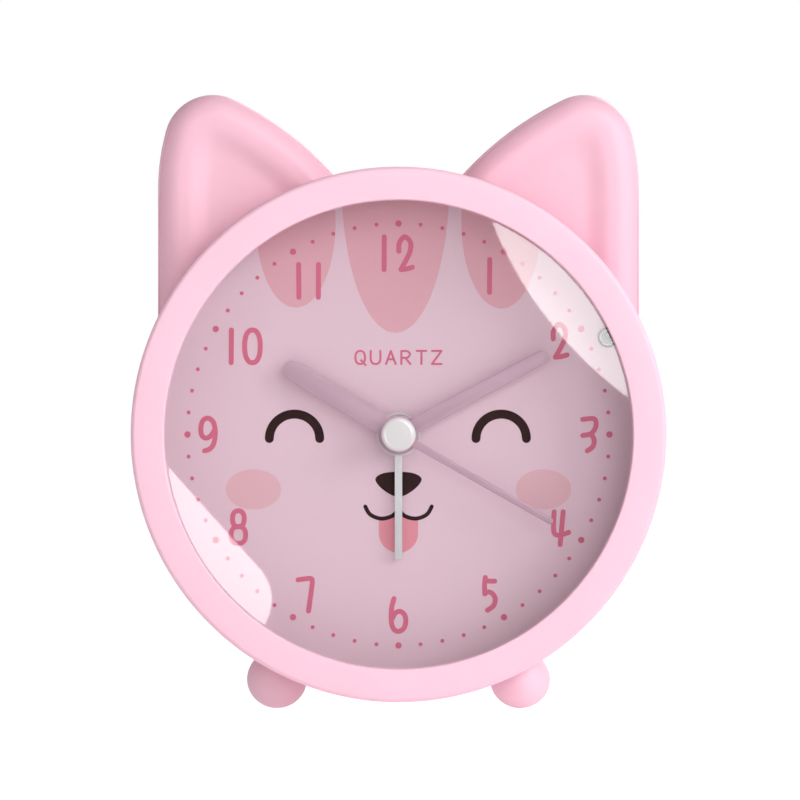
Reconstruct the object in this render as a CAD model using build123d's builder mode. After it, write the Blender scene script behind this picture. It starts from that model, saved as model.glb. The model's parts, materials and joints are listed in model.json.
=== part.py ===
"""Cat-eared quartz alarm clock, millimetres, +Z up.

The dial faces -Y, +X is to the right as seen from the front, and the origin lies on the
surface that the clock stands on, under the middle of its overall box.

Places are given as (x, z, f): x to the right of the dial's axis, z above it, and f, the
station, measured backwards from the bezel's front face.
"""

from build123d import *
from math import acos, atan2, cos, degrees, hypot, pi, radians, sin, sqrt, tan
import os

os.makedirs("parts", exist_ok=True)

# ---------------------------------------------------------------- driving dimensions
DEPTH = 66.0  # bezel's front face to the tail's rearmost point
AXIS_Z = 54.7  # height of the dial's axis above the table
BEZEL_R = 52.6
OPENING_R = 46.1  # the window in the bezel
DRUM_R = 50.4  # outside of the housing
REAR_R = 48.5  # outside of the housing where it meets the back cover
LENS_R = 48.0
LENS_T = 1.8
RUN = 0.05  # radial clearance of every running fit
HOUSING_BORE = 48.2
SKIRT_R = DRUM_R + 0.2  # inside of the bezel's skirt
BEZEL_LIP = 0.3  # rounding of the window's edge
BEZEL_SHOULDER = 0.9  # rounding of the outer edge
HAND_BORE = 4.15  # hole for the hand bush in the dial and its frame
LAMP_R, LAMP_FLANGE_R = 1.5, 2.0  # 3 mm lamp and its flange

# stations
BEZEL_PLATE = 2.3
LENS_BACK = BEZEL_PLATE + LENS_T
BEZEL_END = 10.0
SNAP_F = 8.5  # the bezel's ridge in the housing's groove
DIAL_F = 12.0
FRAME_F = 12.4
SHELF_F = 14.0
SHELF_T = 2.0
TAPER_F = 28.0  # where the drum starts to draw in
JOINT_F = 38.0  # seam between housing and back cover
COVER_IN = 44.5
BACK_F = 46.5

# ears, feet and tail
EAR_FRONT = 11.0
EAR_BACK = 27.0
EAR_WALL = 2.2
EAR_RIM = 6.5  # round the shallow hollow in the ear's face
EAR_HOLLOW = 1.2
TRIM_F = 19.0  # station of the ear and foot screws
FOOT_R = 6.0
FOOT_X = 24.3
FOOT_Z = 5.75  # centre above the table, a little under the radius: a small flat
TAIL_R = 4.2
TAIL_ROOT_Z = 19.5
TAIL_END_F = DEPTH - TAIL_R

# movement
MOVEMENT = 55.0
PLATE_F = SHELF_F
PLATE_T = 1.4
MID_F = 19.4
MID_T = 0.6
CASE_F = 26.8
CASE_BACK = 28.2
PIVOT_END = 27.4
CORNER = 24.0  # movement screws at (+-CORNER, +-CORNER)

# gears: pressure angle, tooth heights in modules, tooth thinning in mm
PRESSURE = radians(25)
ADDENDUM = 0.8
DEDENDUM = 1.1
SHIFT = 0.3  # pinions +, wheels -
THINNING = 0.05

# tooth counts and modules of each pair: pinion, wheel, module
ROTOR_PAIR = (10, 50, 0.22)
STEP_PAIR = (10, 60, 0.27)
SECOND_PAIR = (8, 60, 0.27)
THIRD_PAIR = (8, 64, 0.255)
CANNON_PAIR = (12, 36, 0.5)
HOUR_PAIR = (10, 40, 0.48)
ALARM_PAIR = (14, 42, 0.5)

# hands: clock angle, length
HOUR_ANGLE, HOUR_LENGTH = 301.0, 26.5
MINUTE_ANGLE, MINUTE_LENGTH = 61.8, 33.5
SECOND_ANGLE, SECOND_LENGTH = 119.7, 35.1
ALARM_ANGLE, ALARM_LENGTH = 180.0, 24.8
HAND_T = 0.4

# battery
CELL_R = 7.25
CELL_L = 49.5
BAY_Z = -20.0
BAY_F = 37.55
BAY_X = 28.5  # inside half length
BAY_H = 7.7  # inside half height
BAY_FRONT = 30.0
BAY_WALL = 1.2
DOOR_X = 29.7
DOOR_TOP = -10.8
DOOR_BOTTOM = -29.2
DOOR_F = 45.1
HINGE_Z = -11.6
HINGE_F = 45.8
PIN_R = 0.7

# things on the back
BUZZER_Z = 24.0
BUZZER_R = 8.9
SOUND_HOLE_R = 0.8
BUTTON_X, BUTTON_Z = 22.0, 20.0
BUTTON_R = 4.0
SLIDER_X, SLIDER_Z = -24.0, 20.0
SLIDER_W, SLIDER_H = 4.2, 2.8
SLIDER_TRAVEL = 4.0
KNOB_R = 6.5
KNOB_F = 47.0
KNOB_END = 51.5
LAMP_X, LAMP_Z = 41.6, 19.3


# ---------------------------------------------------------------- places and plain shapes
def back(f):
    """World Y of station f."""
    return f - DEPTH / 2


def face(f, x=0.0, z=0.0):
    """Plane parallel to the dial, drawn as seen from the front; -extrude goes backwards."""
    return Plane(origin=(x, back(f), AXIS_Z + z), x_dir=(1, 0, 0), z_dir=(0, -1, 0))


def side(x, z=0.0, f=0.0):
    """Plane across X: its own x runs backwards, its own y runs up."""
    return Plane(origin=(x, back(f), AXIS_Z + z), x_dir=(0, 1, 0), z_dir=(1, 0, 0))


def at_angle(radius, angle):
    """(x, z) at a radius from the dial's axis, angle in degrees from +X towards +Z."""
    return radius * cos(radians(angle)), radius * sin(radians(angle))


def turned(*points, x=0.0, z=0.0):
    """Solid of revolution of (radius, station) points about an axis along Y."""
    with BuildPart() as shape:
        with BuildSketch(Plane(origin=(x, back(0), AXIS_Z + z), x_dir=(1, 0, 0), z_dir=(0, 0, 1))):
            with BuildLine():
                Polyline(*points, close=True)
            make_face()
        revolve(axis=Axis((x, 0, AXIS_Z + z), (0, 1, 0)))
    return shape.part


def rod(radius, f0, f1, x=0.0, z=0.0, bore=0.0):
    """Round bar or tube along Y."""
    with BuildPart() as shape:
        with BuildSketch(face(f0, x, z)):
            Circle(radius)
            if bore:
                Circle(bore, mode=Mode.SUBTRACT)
        extrude(amount=f0 - f1)
    return shape.part


def slab(width, height, f0, f1, x=0.0, z=0.0, corner=0.0):
    """Rectangular block, centred at (x, z)."""
    with BuildPart() as shape:
        with BuildSketch(face(f0, x, z)):
            if corner:
                RectangleRounded(width, height, corner)
            else:
                Rectangle(width, height)
        extrude(amount=f0 - f1)
    return shape.part


def spoke(radius, r0, r1, angle, f):
    """Round bar along a radius of the drum, from r0 to r1."""
    x, z = at_angle(1.0, angle)
    with BuildPart() as shape:
        start = (r0 * x, back(f), AXIS_Z + r0 * z)
        with BuildSketch(Plane(origin=start, x_dir=(0, 1, 0), z_dir=(x, 0, z))):
            Circle(radius)
        extrude(amount=r1 - r0)
    return shape.part


def bar(radius, x0, x1, z, f):
    """Round bar along X."""
    with BuildPart() as shape:
        with BuildSketch(side(x0, z, f)):
            Circle(radius)
        extrude(amount=x1 - x0)
    return shape.part


def wire(radius, *route):
    """Lead of straight runs and tangent arcs through (x, z, f) points."""
    points = [Vector(x, back(f), AXIS_Z + z) for x, z, f in route]
    radii = []
    for a, b, c in zip(points, points[1:], points[2:]):
        half_turn = radians((b - a).get_angle(c - b)) / 2
        radii.append(0.45 * min((b - a).length, (c - b).length) / tan(half_turn))
    with BuildPart() as shape:
        with BuildLine():
            FilletPolyline(*points, radius=radii)
        with BuildSketch(Plane(origin=points[0], z_dir=points[1] - points[0])):
            Circle(radius)
        sweep()
    return shape.part


def group(*solids):
    """Several separate solids of one piece's kind."""
    with BuildPart() as shape:
        for solid in solids:
            add(solid)
    return shape.part


def save(shape, name):
    """Labels one piece and writes its STEP file."""
    shape.label = name
    export_step(shape, f"parts/{name}.step")


# ---------------------------------------------------------------- gears
def involute(angle):
    return tan(angle) - angle


def gear(teeth, module, shift, f0, f1, x=0.0, z=0.0, aim=0.0, bore=0.0):
    """Spur gear along Y whose first tooth points at the angle aim, in degrees."""
    pitch_r = module * teeth / 2
    base_r = pitch_r * cos(PRESSURE)
    root_r = pitch_r - module * (DEDENDUM - shift)
    tip_r = pitch_r + module * (ADDENDUM + shift)
    thickness = module * (pi / 2 + 2 * shift * tan(PRESSURE)) - THINNING
    flank = [root_r, base_r] if root_r < base_r else [root_r]
    flank += [(max(root_r, base_r) + tip_r) / 2, tip_r]
    halves = []
    for radius in flank:
        slope = acos(base_r / max(radius, base_r))
        halves.append((radius, thickness / (2 * pitch_r) + involute(PRESSURE) - involute(slope)))
    outline = []
    for tooth in range(teeth):
        middle = radians(aim) + 2 * pi * tooth / teeth
        outline += [(r * cos(middle - half), r * sin(middle - half)) for r, half in halves]
        outline += [(r * cos(middle + half), r * sin(middle + half)) for r, half in reversed(halves)]
    with BuildPart() as shape:
        with BuildSketch(face(f0, x, z)):
            with BuildLine():
                Polyline(*outline, close=True)
            make_face()
            if bore:
                Circle(bore, mode=Mode.SUBTRACT)
        extrude(amount=f0 - f1)
    return shape.part


def spacing(pair):
    """Centre distance of a pinion and wheel."""
    pinion, wheel, module = pair
    return module * (pinion + wheel) / 2


def pinion(pair, f0, f1, at, wheel_at, bore=0.0):
    """Pinion of a pair, with a tooth pointing at its wheel."""
    teeth, _, module = pair
    aim = degrees(atan2(wheel_at[1] - at[1], wheel_at[0] - at[0]))
    return gear(teeth, module, SHIFT, f0, f1, at[0], at[1], aim, bore)


def wheel(pair, f0, f1, at, pinion_at, bore=0.0):
    """Wheel of a pair, with a gap facing its pinion."""
    _, teeth, module = pair
    aim = degrees(atan2(pinion_at[1] - at[1], pinion_at[0] - at[0])) + 180 / teeth
    return gear(teeth, module, -SHIFT, f0, f1, at[0], at[1], aim, bore)


CENTRE = (0.0, 0.0)
THIRD = (0.0, spacing(THIRD_PAIR))
STEP = at_angle(spacing(STEP_PAIR), 240)
ROTOR = (STEP[0], STEP[1] - spacing(ROTOR_PAIR))
MOTION = at_angle(spacing(CANNON_PAIR), 20)
ALARM = at_angle(spacing(ALARM_PAIR), 160)

# ---------------------------------------------------------------- bezel, lens and dial
with BuildPart() as front_bezel:
    with BuildSketch(Plane(origin=(0, back(0), AXIS_Z), x_dir=(1, 0, 0), z_dir=(0, 0, 1))):
        with BuildLine():
            Line((OPENING_R, BEZEL_PLATE), (OPENING_R, BEZEL_LIP))
            TangentArc((OPENING_R, BEZEL_LIP), (OPENING_R + BEZEL_LIP, 0), tangent=(0, -1))
            Line((OPENING_R + BEZEL_LIP, 0), (BEZEL_R - BEZEL_SHOULDER, 0))
            TangentArc((BEZEL_R - BEZEL_SHOULDER, 0), (BEZEL_R, BEZEL_SHOULDER), tangent=(1, 0))
            Polyline(
                (BEZEL_R, BEZEL_SHOULDER),
                (BEZEL_R, BEZEL_END),
                (SKIRT_R, BEZEL_END),
                (SKIRT_R, SNAP_F + 0.5),
                (DRUM_R - 0.15, SNAP_F + 0.2),
                (DRUM_R - 0.15, SNAP_F - 0.2),
                (SKIRT_R, SNAP_F - 0.5),
                (SKIRT_R, BEZEL_PLATE),
                (OPENING_R, BEZEL_PLATE),
            )
        make_face()
    revolve(axis=Axis((0, 0, AXIS_Z), (0, 1, 0)))

DOME_R = OPENING_R - 0.3
DOME_APEX = 0.5
DOME_CURVE = (DOME_R**2 + (BEZEL_PLATE - DOME_APEX) ** 2) / (2 * (BEZEL_PLATE - DOME_APEX))


def dome(r, apex):
    """Station of the lens's domed face at radius r."""
    return apex + DOME_CURVE - sqrt(DOME_CURVE**2 - r**2)


with BuildPart() as lens:
    with BuildSketch(Plane(origin=(0, back(0), AXIS_Z), x_dir=(1, 0, 0), z_dir=(0, 0, 1))):
        with BuildLine():
            ThreePointArc((0, DOME_APEX), (DOME_R / 2, dome(DOME_R / 2, DOME_APEX)), (DOME_R, BEZEL_PLATE))
            Polyline((DOME_R, BEZEL_PLATE), (LENS_R, BEZEL_PLATE), (LENS_R, LENS_BACK), (DOME_R, LENS_BACK))
            ThreePointArc(
                (DOME_R, LENS_BACK),
                (DOME_R / 2, dome(DOME_R / 2, DOME_APEX + LENS_T)),
                (0, DOME_APEX + LENS_T),
            )
            Line((0, DOME_APEX + LENS_T), (0, DOME_APEX))
        make_face()
    revolve(axis=Axis((0, 0, AXIS_Z), (0, 1, 0)))

with BuildPart() as lens_spacer_ring:
    add(rod(LENS_R + 0.1, LENS_BACK, DIAL_F, bore=46.6))
    add(rod(2.6, LENS_BACK - 1, DIAL_F + 1, LAMP_X, LAMP_Z), mode=Mode.SUBTRACT)

with BuildPart() as dial:
    add(rod(LENS_R, DIAL_F, FRAME_F, bore=HAND_BORE))
    add(rod(LAMP_FLANGE_R + 0.1, DIAL_F - 1, FRAME_F + 1, LAMP_X, LAMP_Z), mode=Mode.SUBTRACT)

FRAME_SCREWS = [at_angle(45.0, angle) for angle in (90, 210, 330)]
LEG = 1.27  # half the pitch of the lamp's legs
with BuildPart() as dial_frame:
    add(rod(LENS_R, FRAME_F, SHELF_F, bore=HAND_BORE))
    for x, z in FRAME_SCREWS:
        add(rod(2.0, FRAME_F, FRAME_F + 0.9, x, z), mode=Mode.SUBTRACT)
        add(rod(1.0, FRAME_F, SHELF_F, x, z), mode=Mode.SUBTRACT)
    for x in (-CORNER, CORNER):
        for z in (-CORNER, CORNER):
            add(rod(0.95, FRAME_F + 0.4, SHELF_F, x, z), mode=Mode.SUBTRACT)
    for leg in (-LEG, LEG):
        add(rod(0.5, FRAME_F, SHELF_F, LAMP_X, LAMP_Z + leg), mode=Mode.SUBTRACT)

HEAD_F = FRAME_F + 0.1
dial_frame_screws = group(
    *[
        turned((0, HEAD_F), (1.8, HEAD_F), (1.8, 13.3), (0.9, 13.3), (0.9, 15.8), (0, 15.8), x=x, z=z)
        for x, z in FRAME_SCREWS
    ]
)

with BuildPart() as led_lamp:
    add(rod(LAMP_R, 9.0, 11.4, LAMP_X, LAMP_Z))
    add(rod(LAMP_FLANGE_R, 11.4, FRAME_F, LAMP_X, LAMP_Z))
    with BuildSketch(Plane(origin=(LAMP_X, back(0), AXIS_Z + LAMP_Z), x_dir=(1, 0, 0), z_dir=(0, 0, 1))):
        with BuildLine():
            CenterArc((0, 9.0), LAMP_R, 270, 90)
            Polyline((LAMP_R, 9.0), (0, 9.0), (0, 9.0 - LAMP_R))
        make_face()
    revolve(axis=Axis((LAMP_X, 0, AXIS_Z + LAMP_Z), (0, 1, 0)))
    for leg in (-LEG, LEG):
        add(rod(0.3, FRAME_F, 18.0, LAMP_X, LAMP_Z + leg))

# ---------------------------------------------------------------- housing
PILLAR_AT = 41.3  # case screws from the dial's axis
WEB_AT = 44.3  # webs that tie their pillars to the drum
CASE_SCREWS = [at_angle(PILLAR_AT, angle) for angle in (50, 130, 210, 330)]
EAR_SCREW_ANGLES = (43, 60, 120, 137)
FOOT_ANGLE = degrees(atan2(FOOT_Z - AXIS_Z, FOOT_X))
FOOT_ANGLES = (FOOT_ANGLE, 180 - FOOT_ANGLE)

with BuildPart() as housing:
    with BuildSketch(Plane(origin=(0, back(0), AXIS_Z), x_dir=(1, 0, 0), z_dir=(0, 0, 1))):
        with BuildLine():
            Polyline(
                (HOUSING_BORE, BEZEL_PLATE + 0.1),
                (DRUM_R, BEZEL_PLATE + 0.1),
                (DRUM_R, SNAP_F - 0.8),
                (DRUM_R - 0.4, SNAP_F - 0.8),
                (DRUM_R - 0.4, SNAP_F + 0.8),
                (DRUM_R, SNAP_F + 0.8),
                (DRUM_R, TAPER_F),
            )
            TangentArc((DRUM_R, TAPER_F), (REAR_R, JOINT_F), tangent=(0, 1))
            Polyline(
                (REAR_R, JOINT_F),
                (46.3, JOINT_F),
                (46.3, 30.0),
                (48.0, 26.0),
                (48.0, SHELF_F + SHELF_T),
                (43.5, SHELF_F + SHELF_T),
                (43.5, SHELF_F),
                (HOUSING_BORE, SHELF_F),
                (HOUSING_BORE, BEZEL_PLATE + 0.1),
            )
        make_face()
    revolve(axis=Axis((0, 0, AXIS_Z), (0, 1, 0)))
    for x, z in CASE_SCREWS:
        with BuildSketch(face(SHELF_F + SHELF_T)):
            outwards = WEB_AT / PILLAR_AT
            with Locations(Location((x * outwards, z * outwards), degrees(atan2(z, x)))):
                Rectangle(6.6, 4.0)
            with Locations((x, z)):
                Circle(3.0)
        extrude(amount=SHELF_F + SHELF_T - 35.0)
        add(rod(1.15, 26.5, 35.5, x, z), mode=Mode.SUBTRACT)
    for x, z in FRAME_SCREWS:
        add(rod(0.95, SHELF_F - 0.5, SHELF_F + SHELF_T, x, z), mode=Mode.SUBTRACT)
    for angle in (*EAR_SCREW_ANGLES, *FOOT_ANGLES):
        add(spoke(0.95, 47.0, 51.0, angle, TRIM_F), mode=Mode.SUBTRACT)
    for angle in FOOT_ANGLES:
        add(spoke(2.05, 49.2, 51.0, angle, TRIM_F), mode=Mode.SUBTRACT)
    add(slab(3.0, 4.4, SHELF_F - 0.5, 17.0, LAMP_X, LAMP_Z), mode=Mode.SUBTRACT)


def trim_screw(angle):
    """Pan-head screw from inside the drum, along a radius."""
    with BuildPart() as screw:
        add(spoke(1.8, 46.9, 47.9, angle, TRIM_F))
        add(spoke(0.8, 47.9, 53.5, angle, TRIM_F))
    return screw.part


with BuildPart() as tail_screw:
    add(rod(1.8, COVER_IN - 1.0, COVER_IN, 0, TAIL_ROOT_Z - AXIS_Z))
    add(rod(0.8, COVER_IN, 50.2, 0, TAIL_ROOT_Z - AXIS_Z))
trim_screws = group(
    *[trim_screw(angle) for angle in (*EAR_SCREW_ANGLES, *FOOT_ANGLES)],
    tail_screw.part,
)

# ---------------------------------------------------------------- ears
EAR_INNER = (9.6, 48.0)  # just inside the drum
EAR_TIP_IN = (32.8, 66.7)
EAR_TIP_OUT = (46.3, 60.6)
EAR_SIDE_X = 47.9


def ear_block(inset, f0, f1, edge):
    """Ear outline pulled in by inset and extruded; the drum cuts its base away."""
    with BuildPart() as block:
        with BuildSketch(face(f0)):
            with BuildLine():
                inner = ThreePointArc(EAR_INNER, (20.6, 59.1), EAR_TIP_IN)
                tip = TangentArc(EAR_TIP_IN, EAR_TIP_OUT, tangent=inner % 1)
                half_turn = radians((tip % 1).get_angle(Vector(0, -1, 0))) / 2
                shoulder = (EAR_SIDE_X, EAR_TIP_OUT[1] - (EAR_SIDE_X - EAR_TIP_OUT[0]) / tan(half_turn))
                TangentArc(EAR_TIP_OUT, shoulder, tangent=tip % 1)
                Polyline(shoulder, (EAR_SIDE_X, 10.0), (EAR_INNER[0], 10.0), EAR_INNER)
            make_face()
            if inset:
                offset(amount=-inset, kind=Kind.INTERSECTION)
        extrude(amount=f0 - f1)
        if edge:
            rim = block.edges().filter_by_position(Axis.Z, AXIS_Z + 20, AXIS_Z + 80)
            fillet(rim.filter_by(lambda e: abs(e.bounding_box().size.Y) < 0.01), edge)
    return block.part


with BuildPart() as ear_right:
    add(ear_block(0.0, EAR_FRONT, EAR_BACK, 4.0))
    add(ear_block(EAR_WALL, EAR_FRONT + EAR_WALL, EAR_BACK - EAR_WALL, 2.0), mode=Mode.SUBTRACT)
    for angle in EAR_SCREW_ANGLES[:2]:
        # rib from the front wall to the back wall, which takes the screw
        x, z = at_angle(1.0, angle)
        start = (45 * x, back(TRIM_F), AXIS_Z + 45 * z)
        with BuildSketch(Plane(origin=start, x_dir=(0, 1, 0), z_dir=(x, 0, z))):
            Rectangle(EAR_BACK - EAR_FRONT - 1.0, 4.4)
        extrude(amount=11.0)
        add(spoke(0.85, 45.0, 54.0, angle, TRIM_F), mode=Mode.SUBTRACT)
    add(ear_block(EAR_RIM, EAR_FRONT - 3, EAR_FRONT + EAR_HOLLOW, 1.0), mode=Mode.SUBTRACT)
    add(rod(DRUM_R + 0.05, EAR_FRONT - 5, EAR_BACK + 5), mode=Mode.SUBTRACT)

ear_left = mirror(ear_right.part, about=Plane.YZ)


# ---------------------------------------------------------------- feet and tail
def foot(angle):
    """Ball foot with a peg that sits in the housing."""
    x, z = at_angle(hypot(FOOT_X, AXIS_Z - FOOT_Z), angle)
    with BuildPart() as ball:
        with Locations((x, back(TRIM_F), AXIS_Z + z)):
            Sphere(FOOT_R)
        add(rod(DRUM_R + 0.05, TRIM_F - 10, TRIM_F + 10), mode=Mode.SUBTRACT)
        with Locations((x, back(TRIM_F), -5.0)):
            Box(20, 20, 10, mode=Mode.SUBTRACT)
        add(spoke(2.0, 49.3, 52.0, angle, TRIM_F))
        add(spoke(0.85, 49.0, 53.8, angle, TRIM_F), mode=Mode.SUBTRACT)
    return ball.part


foot_right = foot(FOOT_ANGLES[0])
foot_left = foot(FOOT_ANGLES[1])

TAIL_BEND = 4.5
TAIL_DOWN_F = TAIL_END_F - 2 * TAIL_BEND - 0.2
TAIL_TIP_Z = 17.0
with BuildPart() as tail:
    with BuildLine():
        FilletPolyline(
            (0, back(BACK_F), TAIL_ROOT_Z),
            (0, back(TAIL_DOWN_F), TAIL_ROOT_Z),
            (0, back(TAIL_DOWN_F), TAIL_R),
            (0, back(TAIL_END_F), TAIL_R),
            (0, back(TAIL_END_F), TAIL_TIP_Z),
            radius=TAIL_BEND,
        )
    with BuildSketch(Plane(origin=(0, back(BACK_F), TAIL_ROOT_Z), z_dir=(0, 1, 0))):
        Circle(TAIL_R)
    sweep()
    with Locations((0, back(TAIL_END_F), TAIL_TIP_Z)):
        Sphere(TAIL_R)
    add(rod(0.85, BACK_F - 1, 50.5, 0, TAIL_ROOT_Z - AXIS_Z), mode=Mode.SUBTRACT)

# ---------------------------------------------------------------- back cover
with BuildPart() as back_cover:
    with BuildSketch(Plane(origin=(0, back(0), AXIS_Z), x_dir=(1, 0, 0), z_dir=(0, 0, 1))):
        with BuildLine():
            Line((REAR_R, JOINT_F + 0.1), (REAR_R, 40.5))
            TangentArc((REAR_R, 40.5), (REAR_R - 6, BACK_F), tangent=(0, 1))
            Polyline(
                (REAR_R - 6, BACK_F),
                (0, BACK_F),
                (0, COVER_IN),
                (41.5, COVER_IN),
                (44.6, 41.0),
                (44.6, 35.6),
                (46.2, 35.6),
                (46.2, JOINT_F + 0.1),
                (REAR_R, JOINT_F + 0.1),
            )
        make_face()
    revolve(axis=Axis((0, 0, AXIS_Z), (0, 1, 0)))
    # battery bay with a frame round its mouth
    add(slab(2 * (BAY_X + BAY_WALL), 2 * (BAY_H + BAY_WALL), BAY_FRONT - BAY_WALL, COVER_IN, 0, BAY_Z))
    add(slab(64.0, 23.0, 43.0, COVER_IN, 0, BAY_Z))
    add(slab(2 * BAY_X, 2 * BAY_H, BAY_FRONT, BACK_F, 0, BAY_Z), mode=Mode.SUBTRACT)
    door_height = DOOR_TOP - DOOR_BOTTOM + 0.6
    add(slab(60.0, door_height, DOOR_F - 0.1, BACK_F, 0, BAY_Z), mode=Mode.SUBTRACT)
    add(slab(60.0, 2.4, 44.3, BACK_F, 0, -11.7), mode=Mode.SUBTRACT)
    for x0, x1 in ((-31.4, -29.5), (29.5, 31.4)):
        add(bar(PIN_R + RUN, x0, x1, HINGE_Z, HINGE_F), mode=Mode.SUBTRACT)
    add(rod(4.5, DOOR_F + 0.5, BACK_F, 0, DOOR_BOTTOM - 0.3), mode=Mode.SUBTRACT)
    # lead holes in the bay's ends
    for x0, x1 in ((-29.8, -28.4), (28.4, 29.8)):
        for z, f in ((-14.0, 35.0), (-16.5, 38.0)):
            add(bar(0.6, x0, x1, z, f), mode=Mode.SUBTRACT)
    # screw pillars
    for x, z in CASE_SCREWS:
        add(rod(3.4, 35.1, COVER_IN, x, z))
        add(rod(2.3, 37.0, BACK_F, x, z), mode=Mode.SUBTRACT)
        add(rod(1.3, 35.1, BACK_F, x, z), mode=Mode.SUBTRACT)
    # buzzer seat and sound holes
    add(rod(BUZZER_R + 1.3, 40.0, COVER_IN, 0, BUZZER_Z, bore=BUZZER_R + 0.2))
    with BuildSketch(face(COVER_IN, 0, BUZZER_Z)):
        Circle(SOUND_HOLE_R)
        with PolarLocations(3.0, 6):
            Circle(SOUND_HOLE_R)
        with PolarLocations(6.0, 12):
            Circle(SOUND_HOLE_R)
    extrude(amount=COVER_IN - BACK_F, mode=Mode.SUBTRACT)
    # holes for knobs, button, slider and tail screw
    for x, z in (MOTION, ALARM):
        add(rod(1.3, COVER_IN, BACK_F, x, z), mode=Mode.SUBTRACT)
    add(rod(BUTTON_R + 0.15, COVER_IN, BACK_F, BUTTON_X, BUTTON_Z), mode=Mode.SUBTRACT)
    slot_x = SLIDER_X + SLIDER_TRAVEL / 2
    slot_length = SLIDER_W + SLIDER_TRAVEL + 0.4
    add(slab(slot_length, SLIDER_H + 0.4, COVER_IN, BACK_F, slot_x, SLIDER_Z), mode=Mode.SUBTRACT)
    add(rod(0.95, COVER_IN, BACK_F, 0, TAIL_ROOT_Z - AXIS_Z), mode=Mode.SUBTRACT)
    for z in (SLIDER_Z - 3.7, SLIDER_Z + 3.7):
        add(slab(18.0, 1.0, 43.0, COVER_IN, slot_x, z))
    # posts for the light's board
    for z in (BUTTON_Z - 6.2, BUTTON_Z + 6.2):
        add(rod(1.1, 38.0, COVER_IN, BUTTON_X, z))

case_screws = group(
    *[
        turned((0, 38.6), (2.1, 38.6), (2.1, 37.0), (1.1, 37.0), (1.1, 27.0), (0, 27.0), x=x, z=z)
        for x, z in CASE_SCREWS
    ]
)

# ---------------------------------------------------------------- battery, its door and contacts
with BuildPart() as battery_cover:
    door_z = (DOOR_TOP + DOOR_BOTTOM) / 2
    add(slab(2 * DOOR_X, DOOR_TOP - DOOR_BOTTOM, DOOR_F, BACK_F, 0, door_z))
    for x0, x1 in ((-31.2, -DOOR_X), (DOOR_X, 31.2)):
        add(bar(PIN_R, x0, x1, HINGE_Z, HINGE_F))
    for x in range(-4, 5, 2):
        add(slab(1.0, 3.0, BACK_F, BACK_F + 0.5, x, DOOR_BOTTOM + 4.0))

with BuildPart() as battery:
    add(bar(CELL_R, -24.6, -24.6 + CELL_L, BAY_Z, BAY_F))
    add(bar(2.7, -24.6 + CELL_L, 25.9, BAY_Z, BAY_F))

with BuildPart() as battery_contact_positive:
    with BuildSketch(side(BAY_X - 0.4, BAY_Z, BAY_F)):
        RectangleRounded(10.0, 11.0, 1.0)
    extrude(amount=0.4)
    with BuildSketch(side(BAY_X - 0.4, BAY_Z, BAY_F)):
        Circle(2.6)
    extrude(amount=-(BAY_X - 0.4 - 26.0), taper=20)

SPRING_WIRE = 0.35
with BuildPart() as battery_spring_negative:
    with BuildSketch(side(-BAY_X, BAY_Z, BAY_F)):
        RectangleRounded(10.0, 11.0, 1.0)
    extrude(amount=0.4)
    for ring in range(3):
        x = -BAY_X + 0.4 + SPRING_WIRE + ring * (2 * SPRING_WIRE + 0.2)
        with BuildSketch(side(x - SPRING_WIRE, BAY_Z, BAY_F)):
            Circle(4.4 - 0.5 * ring)
            Circle(3.4 - 0.5 * ring, mode=Mode.SUBTRACT)
        extrude(amount=2 * SPRING_WIRE + 0.2)

# ---------------------------------------------------------------- movement casing
FRONT_POSTS = ((22.0, -13.0), (-18.0, -17.0), (0.0, 21.0))
CONTACT_POST = (-15.0, -12.0)
with BuildPart() as movement_front_plate:
    add(slab(MOVEMENT, MOVEMENT, PLATE_F, PLATE_F + PLATE_T, corner=3.0))
    add(rod(4.0, 11.2, PLATE_F))
    add(rod(3.0 + RUN, 11.0, PLATE_F + PLATE_T), mode=Mode.SUBTRACT)
    for x, z in (MOTION, ALARM):
        add(rod(1.0 + RUN, PLATE_F, PLATE_F + PLATE_T, x, z), mode=Mode.SUBTRACT)
    for x in (-CORNER, CORNER):
        for z in (-CORNER, CORNER):
            add(rod(0.95, PLATE_F, PLATE_F + PLATE_T, x, z), mode=Mode.SUBTRACT)
    for x, z in FRONT_POSTS:
        add(rod(1.5, PLATE_F + PLATE_T, MID_F, x, z))
    add(rod(1.3, PLATE_F + PLATE_T, 16.9, *CONTACT_POST))

with BuildPart() as alarm_contact_spring:
    with BuildSketch(face(16.9)):
        with BuildLine():
            Polyline((-16.5, -13.6), (-9.6, -7.9), (-10.4, -6.9), (-17.3, -12.6), close=True)
        make_face()
        with Locations(CONTACT_POST):
            Circle(1.6)
    extrude(amount=-0.2)

MID_HOLES = (
    (CENTRE, 1.5),
    (THIRD, 0.4 + RUN),
    (STEP, 0.4 + RUN),
    (ROTOR, 0.35 + RUN),
    (MOTION, 1.0 + RUN),
    (ALARM, 1.0 + RUN),
)
with BuildPart() as movement_middle_plate:
    add(slab(51.0, 51.0, MID_F, MID_F + MID_T, corner=2.0))
    for x in (-CORNER, CORNER):
        for z in (-CORNER, CORNER):
            add(slab(8.6, 8.6, MID_F, MID_F + MID_T, x * 1.06, z * 1.06), mode=Mode.SUBTRACT)
    for (x, z), radius in MID_HOLES:
        add(rod(radius, MID_F, MID_F + MID_T, x, z), mode=Mode.SUBTRACT)

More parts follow.
